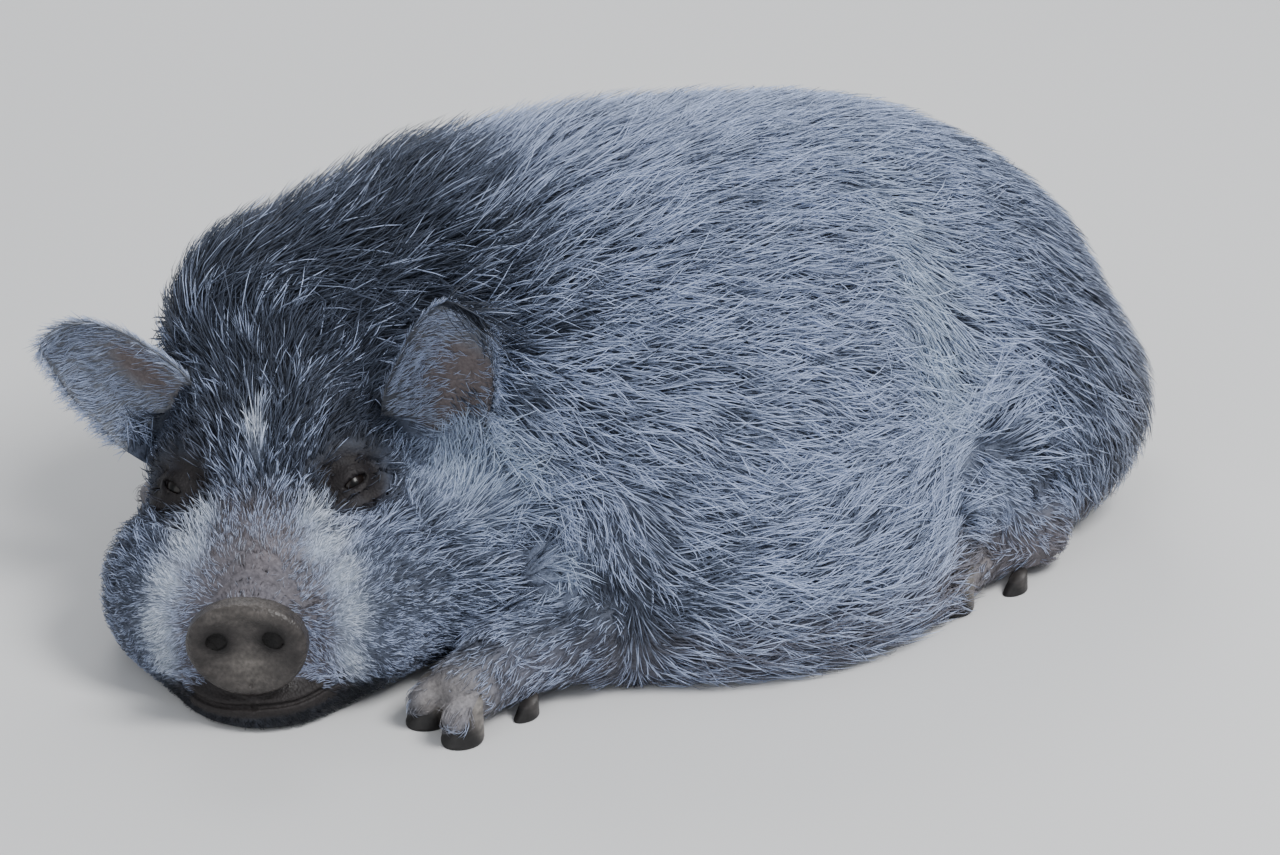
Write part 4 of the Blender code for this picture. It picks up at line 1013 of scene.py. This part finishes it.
# The coat
def lie_of_coat(points):
    """The way that the coat lies: back from the poll, down the hip ridge and rump, up from the bridge."""
    x, y, z = points.T
    lie = np.tile(np.array((1.0, 0.0, -0.34)), (len(points), 1))
    top = smooth_step(z, 0.17, 0.27)
    for share, way in (
        (smooth_step(-z, -0.150, -0.110) * smooth_step(x, -0.080, 0.020), (0.95, 0.0, 0.34)),
        (smooth_step(x, 0.040, 0.090) * smooth_step(-z, -0.150, -0.100), (0.70, 0.0, 0.75)),
        (smooth_step(-z, -0.075, -0.035), (1.0, 0.0, 0.04)),
        (top, (1.0, 0.0, -0.02)),
    ):
        lie = blended(lie, way, share[:, None])
    lie[:, 1] += 0.25 * (np.sign(y - 0.01) * smooth_step(np.abs(y - 0.01), 0.0, 0.06)) * top
    lie = blended(lie, (0.42, 0.0, -1.0), smooth_step(x, 0.130, 0.240)[:, None])
    lie = blended(lie, (0.12, -0.1, -1.0), blob(points, *HIP_RIDGE)[:, None])
    local, folded = folded_head(points)
    wide = smooth_step(folded[:, 1], 0.0, 0.075)
    cheek = smooth_step(-local[:, 2], -0.100, -0.065)[:, None]
    swept = blended(np.array((-1.0, 0.0, 0.20)), (-1.0, 0.0, -0.55), cheek)
    swept[:, 1] += (0.15 + 0.55 * wide) * np.sign(local[:, 1]) * smooth_step(folded[:, 1], 0.0, 0.020)
    head_share = smooth_step(-HEAD_CUT_BALL.distance(points), -0.045, 0.010)[:, None]
    return unit(blended(lie, swept @ HEAD_AXES.T, head_share))


def leg_share(points, legs):
    """The nearest leg's way at each point, and how much the point belongs to a leg."""
    way = np.zeros((len(points), 3))
    best = np.full(len(points), FAR)
    for cords in legs.values():
        for cord in cords:
            away = cord.distance(points)
            closer = away < best
            best[closer] = away[closer]
            way[closer] = unit(cord.path[-1] - cord.path[0])
    return way, smooth_step(-best, -0.012, -0.002)


# A tuft's width at its three rings, the steps between its rings, and its thickness as a share of its width
RING_WIDTHS = (0.75, 1.0, 0.66)
STEPS = ((0.36, 0.36), (0.36, 0.72), (0.28, 1.0))
THICKNESS = 0.42
ROOT_DEPTH = 0.0012
OFF_FLOOR = 0.0012
# Tufts lean together in clumps: how many, how far at most, and how much at each ring
TUFTS_IN_CLUMP = 7
CLUMP_REACH = 0.010
CLUMP_PULLS = (0.0, 0.20, 0.42, 0.62)


def clumps(roots, up, draw):
    """Each tuft's way to the middle of its clump, along the skin, and the clump's own brightness."""
    centres = draw.choice(len(roots), max(1, len(roots) // TUFTS_IN_CLUMP), replace=False)
    tree = kdtree.KDTree(len(centres))
    for index, centre in enumerate(centres):
        tree.insert(roots[centre], index)
    tree.balance()
    nearest = np.array([tree.find(root)[1] for root in roots])
    away = flattened(roots[centres][nearest] - roots, up)
    size = np.linalg.norm(away, axis=1, keepdims=True)
    away *= np.minimum(1, CLUMP_REACH / np.maximum(size, 1e-9))
    return away, draw.uniform(0, 1, len(centres))[nearest]


def tuft_arrays(spines, ups, sides, widths):
    """Points and triangles of closed three-sided blades along their spines. Shapes: (count, 4, 3)."""
    count = len(spines)
    points = np.zeros((count, 10, 3))
    for ring, wide in enumerate(RING_WIDTHS):
        half = sides[:, ring] * (0.5 * wide * widths)[:, None]
        lift = ups[:, ring] * (THICKNESS * wide * widths)[:, None]
        points[:, 3 * ring] = spines[:, ring] - half
        points[:, 3 * ring + 1] = spines[:, ring] + half
        points[:, 3 * ring + 2] = spines[:, ring] + lift
    points[:, 9] = spines[:, 3]
    faces = [(0, 2, 1)]
    for ring in range(2):
        low, high = 3 * ring, 3 * ring + 3
        for corner in range(3):
            after = (corner + 1) % 3
            faces += [(low + corner, low + after, high + after), (low + corner, high + after, high + corner)]
    faces += [(6, 7, 9), (7, 8, 9), (8, 6, 9)]
    faces = np.array(faces)
    offset = np.arange(count)[:, None, None] * 10
    return points.reshape(-1, 3), (faces[None] + offset).reshape(-1, 3)


def grow(roots, up, way, settings, forms):
    """Spines of tufts that follow the skin, with their up and side ways. Settings hold a value a tuft."""
    lengths, rise, bend = settings["length"], settings["rise"], settings["bend"]
    spines, ups, sides = [roots - up * ROOT_DEPTH], [up], [np.cross(up, way)]
    here = roots
    for step, share in STEPS:
        way = unit(way + np.cross(up, way) * (bend * step)[:, None])
        here = here + way * (lengths * step)[:, None]
        if forms is not None:
            distance, slope = slope_of(here, forms)
            up = unit(slope)
            here = here - up * distance[:, None]
        lifted = here + up * (rise * share**0.75)[:, None]
        lifted[:, 2] = np.maximum(lifted[:, 2], OFF_FLOOR)
        way = unit(flattened(way, up))
        spines.append(lifted)
        ups.append(up)
        sides.append(np.cross(up, way))
    return np.stack(spines, 1), np.stack(ups, 1), np.stack(sides, 1)


def thrown_roots(table, weights, count, draw):
    corners, normals, area = table
    chance = area * weights
    picks = draw.choice(len(area), count, p=chance / chance.sum())
    first, second = draw.random((2, count))
    fold = first + second > 1
    first[fold], second[fold] = 1 - first[fold], 1 - second[fold]
    start, left, right = corners[picks].transpose(1, 0, 2)
    return start + (left - start) * first[:, None] + (right - start) * second[:, None], normals[picks]


# The tufts of each region: their length, their width and how high their tips rise
BODY_TUFT = (0.036, 0.00085, 0.0068)
CREST_MORE = np.array((0.010, 0.0, 0.0050))
HEAD_TUFT = (0.024, 0.00072, 0.0050)
FACE_TUFT = (0.0066, 0.00044, 0.0013)
FOREHEAD_LENGTH = 0.0150
LEG_TUFT = (0.0125, 0.00062, 0.0024)
EAR_TUFT = (0.0120, 0.00050, 0.0020)
EAR_DENSITY = 3.2
BARE_BRIDGE = ((-0.026, 0, 0.086), (0.036, 0.038, 0.026))
BEHIND_EARS = (
    ((-0.156, -0.072, 0.136), (0.028, 0.032, 0.028)),
    ((-0.154, 0.094, 0.124), (0.030, 0.034, 0.030)),
)


def tuft_sizes(points, on_ear, leg):
    """Length, width, rise and density of the coat at each point."""
    local, folded = folded_head(points)
    x, _, z = local.T
    wide = folded[:, 1]
    head = smooth_step(-HEAD_CUT_BALL.distance(points), -0.030, 0.010)
    face = head * smooth_step(x - 0.20 * wide, -0.105, -0.070)
    crest = smooth_step(-points[:, 0], -0.10, 0.10) * smooth_step(points[:, 2], 0.16, 0.26) * (1 - head)
    forehead = head * smooth_step(x, -0.150, -0.110) * smooth_step(-wide, -0.050, -0.035)
    size = np.array(BODY_TUFT) + CREST_MORE * crest[:, None]
    size = blended(blended(size, HEAD_TUFT, head[:, None]), FACE_TUFT, face[:, None])
    size[:, 0] = blended(size[:, 0], np.minimum(size[:, 0], FOREHEAD_LENGTH), forehead)
    length, width, rise = blended(size, LEG_TUFT, leg[:, None]).T
    density = blended(1.0 + 0.9 * head + 0.9 * face, 1.4, leg)
    eye = eye_distance(folded)
    density *= np.where(head > 0.5, 0.10 + 0.90 * smooth_step(eye, 0.018, 0.036), 1)
    density = np.where(eye < 0.0125, 0, density)
    length = np.minimum(length, 0.003 + 0.8 * np.maximum(eye - 0.012, 0))
    density *= 1 + 0.5 * face
    density *= 1 - 0.94 * np.clip(1.7 * head * blob(folded, *BARE_BRIDGE), 0, 1)
    foot = foot_share(points)
    density *= 1 - 0.92 * foot
    length = length * (1 - 0.5 * foot)
    disc = (x > -0.0145) & (z > 0.012)
    mouth = (x > -0.014) & (np.abs(z - 0.0205) < 0.0050)
    density = np.where((disc | mouth) & (head > 0.5) & (wide < 0.075), 0, density)
    by_ear = largest_blob(local, BEHIND_EARS)
    length = length * (1 - 0.6 * np.clip(1.4 * by_ear, 0, 1))
    rise = rise * (1 - 0.6 * by_ear)
    sizes = [np.where(on_ear, own, value) for own, value in zip(EAR_TUFT, (length, width, rise))]
    return (*sizes, np.where(on_ear, EAR_DENSITY, density))


def regions(points, on_ear, leg):
    """The name of the coat piece that each point's tuft belongs to."""
    names = np.full(len(points), "coat_back", dtype="U20")
    fore = points[:, 0] < 0.06
    for side, beyond in (("left", points[:, 1] < -0.045), ("right", points[:, 1] > 0.075)):
        names[beyond & fore] = "coat_flank_" + side
        names[beyond & ~fore] = "coat_hip_" + side
    names[NECK_CUT_BALL.distance(points) < 0] = "coat_neck"
    head = HEAD_CUT_BALL.distance(points) < 0
    left = to_head(points)[:, 1] >= 0
    names[head & left] = "coat_head_left"
    names[head & ~left] = "coat_head_right"
    names[leg > 0.5] = "coat_legs"
    names[on_ear] = "coat_ears"
    return names


TUFTS = 90000
TUFTS_IN_PIECE = 12300
# Beyond this distance from the field a tuft doesn't follow it
LOOSE = 0.0025
# Where a tuft's ten points lie on the unwrap, round the place of its root
TUFT_PATCH = 0.0015 * np.array(
    [(-1, -1), (1, -1), (0, -0.6), (-0.9, 0), (0.9, 0), (0, 0.1), (-0.6, 0.7), (0.6, 0.7), (0, 0.8), (0, 1)]
)


def coat_ways(roots, leg_way, leg, frames, forms):
    """The lie of the coat, with the legs' and the ears' own."""
    ways = unit(blended(lie_of_coat(roots), leg_way + np.array((0, 0, -0.25)), leg[:, None]))
    for side, (base, along, across, _) in frames.items():
        chosen = ear_share(roots, {side: frames[side]}, forms)
        wide = (roots - base) @ across
        ways[chosen] = unit(0.6 * along - across * 0.8 + across * (10 * wide)[:, None])[chosen]
    return ways


def tuft_colours(under, tips, pale, light_of, draw):
    """Colours of each tuft's ten points, from its root to its tip, with pale and dark tufts mixed."""
    count = len(under)
    light = 0.55 * draw.random(count) + 0.45 * light_of < pale
    strength = np.where(light, draw.uniform(0.45, 1.0, count), draw.uniform(0.0, 0.18, count))
    root = under * draw.uniform(0.5, 0.9, count)[:, None]
    middle = mixed(under * draw.uniform(0.8, 1.3, count)[:, None], tips, 0.55 * strength)
    tip = mixed(under * 1.3, tips, strength)
    return np.stack([root] * 3 + [middle] * 3 + [tip] * 4, 1)


def make_coat(skin, forms, frames, legs, shift):
    """The tufts of the whole coat, as one mesh for each region."""
    draw = np.random.default_rng(2)
    table = face_table(skin.data)
    corners, normals, _ = table
    middles = corners.mean(1)
    on_ear = ear_share(middles, frames, forms)
    density = tuft_sizes(middles, on_ear, leg_share(middles, legs)[1])[3]
    density = density * (1 - 0.93 * on_ear * cup_share(middles, normals, frames))
    density = density * smooth_step(middles[:, 2], 0.002, 0.010) * smooth_step(normals[:, 2], -0.85, -0.45)
    seen = 0.62 + 0.38 * smooth_step(-middles[:, 1], -0.10, 0.02)
    count = int(TUFTS * TUFT_SHARE)
    roots, up = thrown_roots(table, density * seen, count, draw)
    on_ear = ear_share(roots, frames, forms)
    leg_way, leg = leg_share(roots, legs)
    length, width, rise, _ = tuft_sizes(roots, on_ear, leg)
    ways = coat_ways(roots, leg_way, leg, frames, forms)
    away, slope = slope_of(roots, forms)
    alone = on_ear | (np.abs(away) > LOOSE)
    up = np.where(alone[:, None], up, unit(slope))
    flat = unit(flattened(ways, up))
    turn = 0.20 * waves(roots, 0.055, 31) + 0.24 * waves(roots, 0.018, 32) + draw.normal(0, 0.13, count)
    turn *= np.where(HEAD_CUT_BALL.distance(roots) < 0.01, 0.8, 1.0)
    flat = flat * np.cos(turn)[:, None] + np.cross(up, flat) * np.sin(turn)[:, None]
    settings = {
        "length": length * draw.uniform(0.65, 1.25, count),
        "rise": rise * draw.uniform(0.30, 1.50, count) ** 1.2,
        "bend": 0.35 * waves(roots, 0.022, 33) + draw.normal(0, 0.26, count),
    }
    width = width * draw.uniform(0.7, 1.35, count)
    spines, ups, sides = np.zeros((3, count, 4, 3))
    for group, group_forms in ((alone, None), (~alone, forms)):
        part = {name: values[group] for name, values in settings.items()}
        grown = grow(roots[group], up[group], flat[group], part, group_forms)
        spines[group], ups[group], sides[group] = grown
    to_clump, light_of = clumps(roots, up, draw)
    for ring, pull in enumerate(CLUMP_PULLS):
        spines[:, ring] += pull * to_clump
    spines[:, :, 2] = np.maximum(spines[:, :, 2], OFF_FLOOR)
    under, tips, pale = markings(roots)
    under = ear_colours(roots, up, frames, under, forms)
    colours = tuft_colours(under, tips, np.where(on_ear, 0.86, pale), light_of, draw)
    places = chart_places(roots, roots, up, on_ear)
    names = regions(roots, on_ear, leg)
    pieces = []
    for name in sorted(set(names)):
        chosen = np.flatnonzero(names == name)
        parts = math.ceil(len(chosen) / TUFTS_IN_PIECE)
        for number in range(parts):
            few = chosen[number::parts]
            points, faces = tuft_arrays(spines[few], ups[few], sides[few], width[few])
            obj = mesh_from(name if parts == 1 else f"{name}_{number + 1}", points + shift, faces)
            set_colours(obj.data, "Markings", colours[few].reshape(-1, 3))
            uv = (places[few][:, None] + TUFT_PATCH[None]).reshape(-1, 2)
            set_uv(obj.data, uv[faces.ravel()])
            obj.data.shade_smooth()
            pieces.append(obj)
    return pieces


# Eyes and hooves
CORNEA_RADIUS, CORNEA_HEIGHT = 0.0058, 0.0006
# The iris, and the colours over it: its dark edge, the white and the pupil, with the degrees from the
# gaze between which each begins. The pupil's are negative, because it fills inward.
IRIS = (0.006, 0.003, 0.002)
EYE_RINGS = (
    ((0.006, 0.004, 0.003), 27, 32),
    ((0.012, 0.008, 0.007), 38, 46),
    ((0.001, 0.001, 0.001), -15, -12),
)


def make_eye(side, plain, shift):
    name = "eye_left" if side > 0 else "eye_right"
    centre, axes = eye_frame(side, plain)
    gaze = unit(axes[:, 2] + 0.25 * HEAD_AXES[:, 0] - 0.10 * axes[:, 1])
    mesh = bmesh.new()
    bmesh.ops.create_uvsphere(mesh, u_segments=56, v_segments=40, radius=0.97 * EYE_RADIUS)
    across = unit(np.cross(axes[:, 1], gaze))
    frame_axes = np.stack([across, np.cross(gaze, across), gaze], 1)
    for vertex in mesh.verts:
        if vertex.co.z > 0:
            middle = math.hypot(vertex.co.x, vertex.co.y) / CORNEA_RADIUS
            vertex.co.z += CORNEA_HEIGHT * math.exp(-(middle**2))
    bmesh.ops.transform(mesh, matrix=Matrix(frame_axes).to_4x4(), verts=mesh.verts[:])
    bmesh.ops.translate(mesh, vec=Vector(centre + shift), verts=mesh.verts[:])
    obj = mesh_object(name + "_ball", mesh)
    points = coordinates(obj.data) - centre - shift
    angle = np.degrees(np.arccos(np.clip(unit(points) @ gaze, -1, 1)))
    around = np.arctan2(points @ frame_axes[:, 1], points @ frame_axes[:, 0])
    streak = 1 + 0.35 * np.sin(around * 23) * np.sin(around * 9 + 1)
    colours = np.array(IRIS) * streak[:, None]
    for colour, start, end in EYE_RINGS:
        colours = mixed(colours, np.array(colour), smooth_step(math.copysign(1, start) * angle, start, end))
    set_colours(obj.data, "Markings", colours)
    obj.data.shade_smooth()
    return obj, name


HOOF_WIDTH, HOOF_HEIGHT = 0.0262, 0.030
HOOF_APART, HOOF_SPREAD = 0.0132, 0.004
WORN_LENGTH = 0.82
DEWCLAW_LENGTH, DEWCLAW_WIDTH, DEWCLAW_HEIGHT = 0.020, 0.012, 0.014
DEWCLAW_BEHIND, DEWCLAW_APART = 0.040, 0.0245
HOOF_COLOUR = (0.170, 0.155, 0.142)
# The dewclaws' horn, darkened as painted shade where they sit behind the feet
DEWCLAW_HORN_AND_SHADE_COLOUR = (0.045, 0.040, 0.038)
# Hooves grow to this colour towards the front and the floor
HOOF_FRONT_LOW_COLOUR = (0.008, 0.007, 0.007)


def make_hoof(name, heel, tip, width, height, shift):
    """One toe's hoof: a rounded wall with growth ridges, flat on the floor, pointed at its tip."""
    heel = np.array((heel[0], heel[1], 0.0))
    forward = np.array((tip[0], tip[1], 0.0)) - heel
    length = float(np.linalg.norm(forward))
    forward /= length
    beside = np.array((-forward[1], forward[0], 0.0))
    around, rise = 40, 14
    angles = np.linspace(0, 2 * math.pi, around, endpoint=False)
    rings = []
    for level in range(rise + 1):
        up = level / rise
        ridge = 1 + 0.012 * math.sin(up * 34) + 0.008 * math.sin(up * 61 + 1)
        ahead = 0.5 * (1 + np.cos(angles))
        back = 0.06 * length * up
        x = 0.02 * length + back + ((1.0 - 0.30 * up) * length - back) * ahead * 0.98
        narrow = np.sin(angles) * (1 - 0.12 * ahead**3)
        y = 0.5 * width * narrow * (1 - 0.12 * up) * ridge
        edge = 0.96 if level == 0 else 1.0
        middle = x.mean()
        place = heel + forward * ((x - middle) * edge + middle)[:, None] + beside * (y * edge)[:, None]
        place[:, 2] = height * (1 - 0.42 * ahead) * up
        rings.append(place)
    points = np.vstack(rings + [rings[0].mean(0)[None], rings[-1].mean(0)[None] + (0, 0, 0.001)])
    index = np.arange((rise + 1) * around).reshape(rise + 1, around)
    after = np.roll(index, -1, axis=1)
    quads = np.stack([index[:-1], after[:-1], after[1:], index[1:]], -1).reshape(-1, 4)
    bottom = np.stack([after[0], index[0], np.full(around, len(points) - 2)], 1)
    cap = np.stack([index[-1], after[-1], np.full(around, len(points) - 1)], 1)
    mesh = bmesh.new()
    verts = [mesh.verts.new(point + shift) for point in points]
    for face in (*quads, *bottom, *cap):
        mesh.faces.new([verts[i] for i in face])
    bmesh.ops.recalc_face_normals(mesh, faces=mesh.faces[:])
    obj = mesh_object(name + "_horn", mesh)
    local = coordinates(obj.data) - shift
    up = local[:, 2] / height
    fore = (local - heel) @ forward / length
    # Dewclaws take their horn colour darkened with painted shade
    horn = np.array(HOOF_COLOUR if name.startswith("hoof") else DEWCLAW_HORN_AND_SHADE_COLOUR)
    # darker towards the front and the floor
    dark = smooth_step(fore - 0.7 * up, 0.0, 0.45)
    colours = mixed(np.tile(horn, (len(local), 1)), np.array(HOOF_FRONT_LOW_COLOUR), dark)
    colours = mixed(colours, 0.7 * horn, smooth_step(up, 0.75, 1.0))
    colours *= (1 + 0.15 * np.sin(up * 34))[:, None]
    set_colours(obj.data, "Markings", colours)
    obj.data.shade_smooth()
    return obj


def make_feet(shift):
    """Two hooves and two dewclaws on each leg, where the solids have them."""
    made = []
    for leg, joints in {**FORELEGS, **HINDLEGS}.items():
        start, end = np.array(joints[-2]), np.array(joints[-1])
        way = unit(np.array((*(end - start)[:2], 0.0)))
        beside = np.array((-way[1], way[0], 0))
        front = np.array((end[0], end[1], 0.02)) + way * 0.004
        for side, label in ((-1, "a"), (1, "b")):
            hoof, dewclaw = f"hoof_{leg}_{label}", f"dewclaw_{leg}_{label}"
            heel = front + way * GAP + beside * side * HOOF_APART
            toe = heel + way * WORN_LENGTH * HOOF_LENGTH + beside * side * HOOF_SPREAD
            made.append((make_hoof(hoof, heel, toe, HOOF_WIDTH, HOOF_HEIGHT, shift), hoof))
            claw = front - way * DEWCLAW_BEHIND + beside * side * DEWCLAW_APART
            tip = claw + way * DEWCLAW_LENGTH
            made.append((make_hoof(dewclaw, claw, tip, DEWCLAW_WIDTH, DEWCLAW_HEIGHT, shift), dewclaw))
    return made


# Materials
def feed(tree, node, inputs):
    """Each named input of the node, set to a value or linked to another node's socket."""
    for name, value in inputs.items():
        if isinstance(value, bpy.types.NodeSocket):
            tree.links.new(value, node.inputs[name])
        else:
            node.inputs[name].default_value = value
    return node.outputs


def add_node(tree, kind, inputs):
    return feed(tree, tree.nodes.new("ShaderNode" + kind), inputs)


def new_material(name):
    material = bpy.data.materials.new(name)
    material.use_nodes = True
    tree = material.node_tree
    return material, tree, tree.nodes["Principled BSDF"]


def attribute(tree, name):
    node = tree.nodes.new("ShaderNodeAttribute")
    node.attribute_name = name
    return node.outputs


def ranged(tree, value, low, high, start=0.0, end=1.0):
    """The value's stretch from start to end, spread from low to high."""
    inputs = {"Value": value, "From Min": start, "From Max": end, "To Min": low, "To Max": high}
    return add_node(tree, "MapRange", inputs)["Result"]


def painted_material(name, noise_scale, low, high, looks, grain=None):
    """A material with the Markings colours, lightened and darkened by noise, and a fine grain."""
    material, tree, shader = new_material(name)
    place = tree.nodes.new("ShaderNodeTexCoord").outputs["Object"]
    noise = add_node(tree, "TexNoise", {"Scale": noise_scale, "Detail": 6.0, "Vector": place})["Fac"]
    scaled = tree.nodes.new("ShaderNodeVectorMath")
    scaled.operation = "SCALE"
    tree.links.new(attribute(tree, "Markings")["Color"], scaled.inputs[0])
    tree.links.new(ranged(tree, noise, low, high, 0.3, 0.7), scaled.inputs["Scale"])
    feed(tree, shader, {"Base Color": scaled.outputs["Vector"], **looks})
    if grain:
        strength, depth = grain
        bump = add_node(tree, "Bump", {"Strength": strength, "Distance": depth, "Height": noise})
        feed(tree, shader, {"Normal": bump["Normal"]})
    return material, tree, shader, place


def skin_material():
    looks = {"Specular IOR Level": 0.35}
    material, tree, shader, place = painted_material("pig_skin", 420, 0.72, 1.28, looks)
    pores = add_node(tree, "TexVoronoi", {"Scale": 620, "Vector": place})["Distance"]
    creases = add_node(tree, "TexNoise", {"Scale": 160, "Detail": 8, "Vector": place})["Fac"]
    fine = add_node(tree, "Bump", {"Strength": 0.55, "Distance": 0.0006, "Height": pores})["Normal"]
    relief = {"Strength": 0.6, "Distance": 0.0016, "Height": creases, "Normal": fine}
    moist = ranged(tree, attribute(tree, "Bare")["Fac"], 0.66, 0.40)
    feed(tree, shader, {"Roughness": moist, "Normal": add_node(tree, "Bump", relief)["Normal"]})
    return material


def coat_material():
    looks = {"Roughness": 0.48, "Specular IOR Level": 0.30}
    return painted_material("bristle_coat", 900, 0.80, 1.20, looks, (0.25, 0.0002))[0]


def eye_material():
    looks = {"Roughness": 0.30, "Specular IOR Level": 0.25, "Coat Weight": 0.10, "Coat Roughness": 0.08}
    return painted_material("pig_eye", 700, 0.8, 1.2, looks)[0]


def horn_material():
    return painted_material("hoof_horn_worn", 260, 0.65, 1.35, {"Roughness": 0.55}, (0.5, 0.0008))[0]


def give(obj, material):
    obj.data.materials.clear()
    obj.data.materials.append(material)


# Floor, light and camera
def aimed(obj, place, target):
    obj.location = place
    obj.rotation_mode = "QUATERNION"
    obj.rotation_quaternion = (Vector(target) - Vector(place)).to_track_quat("-Z", "Y")


FLOOR_DROP = 0.0004
# Each soft light: its place, its size and its power in watts
LIGHTS = {
    "key": ((0.9, -1.3, 2.2), 1.0, 74),
    "fill": ((-2.2, -1.2, 1.3), 2.0, 20),
    "back": ((0.6, 2.2, 1.8), 1.6, 34),
}
SKY_LIGHT, SKY_STRENGTH = (0.80, 0.84, 0.90, 1), 0.55


def make_stage():
    mesh = bmesh.new()
    bmesh.ops.create_grid(mesh, x_segments=1, y_segments=1, size=6.0)
    floor = mesh_object("floor", mesh)
    floor.location = (0, 0, -FLOOR_DROP)
    material, tree, shader = new_material("floor_paper")
    noise = add_node(tree, "TexNoise", {"Scale": 3})["Fac"]
    feed(tree, shader, {"Base Color": ranged(tree, noise, 0.66, 0.72), "Roughness": 0.9})
    give(floor, material)
    for name, (place, size, power) in LIGHTS.items():
        light = bpy.data.lights.new(name, "AREA")
        light.size = size
        light.energy = power
        aimed(linked(name, light), place, (0, 0, 0.1))
    world = bpy.data.worlds.new("studio")
    bpy.context.scene.world = world
    world.use_nodes = True
    sky = {"Color": SKY_LIGHT, "Strength": SKY_STRENGTH}
    feed(world.node_tree, world.node_tree.nodes["Background"], sky)


CAMERA_AZIMUTH = -27.0
CAMERA_ELEVATION = 28.0
CAMERA_DISTANCE = 3.0
CAMERA_TARGET = (-0.05, -0.085, 0.12)
LENS_MM, SENSOR_MM = 135, 36


def make_camera(shift):
    camera = bpy.data.cameras.new("camera")
    camera.sensor_fit = "HORIZONTAL"
    camera.sensor_width = SENSOR_MM
    camera.lens = LENS_MM
    obj = linked("camera", camera)
    a, e = math.radians(CAMERA_AZIMUTH), math.radians(CAMERA_ELEVATION)
    back = Vector((math.sin(a) * math.cos(e), -math.cos(a) * math.cos(e), math.sin(e)))
    target = Vector(CAMERA_TARGET) + Vector(shift)
    aimed(obj, target + back * CAMERA_DISTANCE, target)
    bpy.context.scene.camera = obj


FLESH_NODES = ["torso", "neck", "head", "thigh_left", "thigh_right", "snout", "ear_left", "ear_right", "tail"]
FLESH_NODES += list(FORELEGS) + list(HINDLEGS)


def main():
    plain_head = trunk_masses() + head_masses()
    low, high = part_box("eye_left")
    solid_eye = (np.array(low) + np.array(high)) / 2
    shift = solid_eye - eye_frame(1, plain_head)[0]
    make_stage()
    make_camera(shift)
    skin, detailed = make_skin()
    frames = joined_ears(skin, detailed)
    coat = make_coat(skin, detailed, frames, leg_masses(), shift)
    dress_skin(skin, frames, detailed)
    set_coordinates(skin.data, coordinates(skin.data) + shift)
    give(skin, skin_material())
    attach(skin, "root")
    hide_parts(*FLESH_NODES)
    coat_look = coat_material()
    for piece in coat:
        give(piece, coat_look)
        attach(piece, "root")
    eye_look = eye_material()
    for side in (-1, 1):
        eye, node = make_eye(side, plain_head, shift)
        give(eye, eye_look)
        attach(eye, "root")
        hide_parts(node)
    horn = horn_material()
    for hoof, node in make_feet(shift):
        give(hoof, horn)
        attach(hoof, "root")
        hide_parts(node)


main()
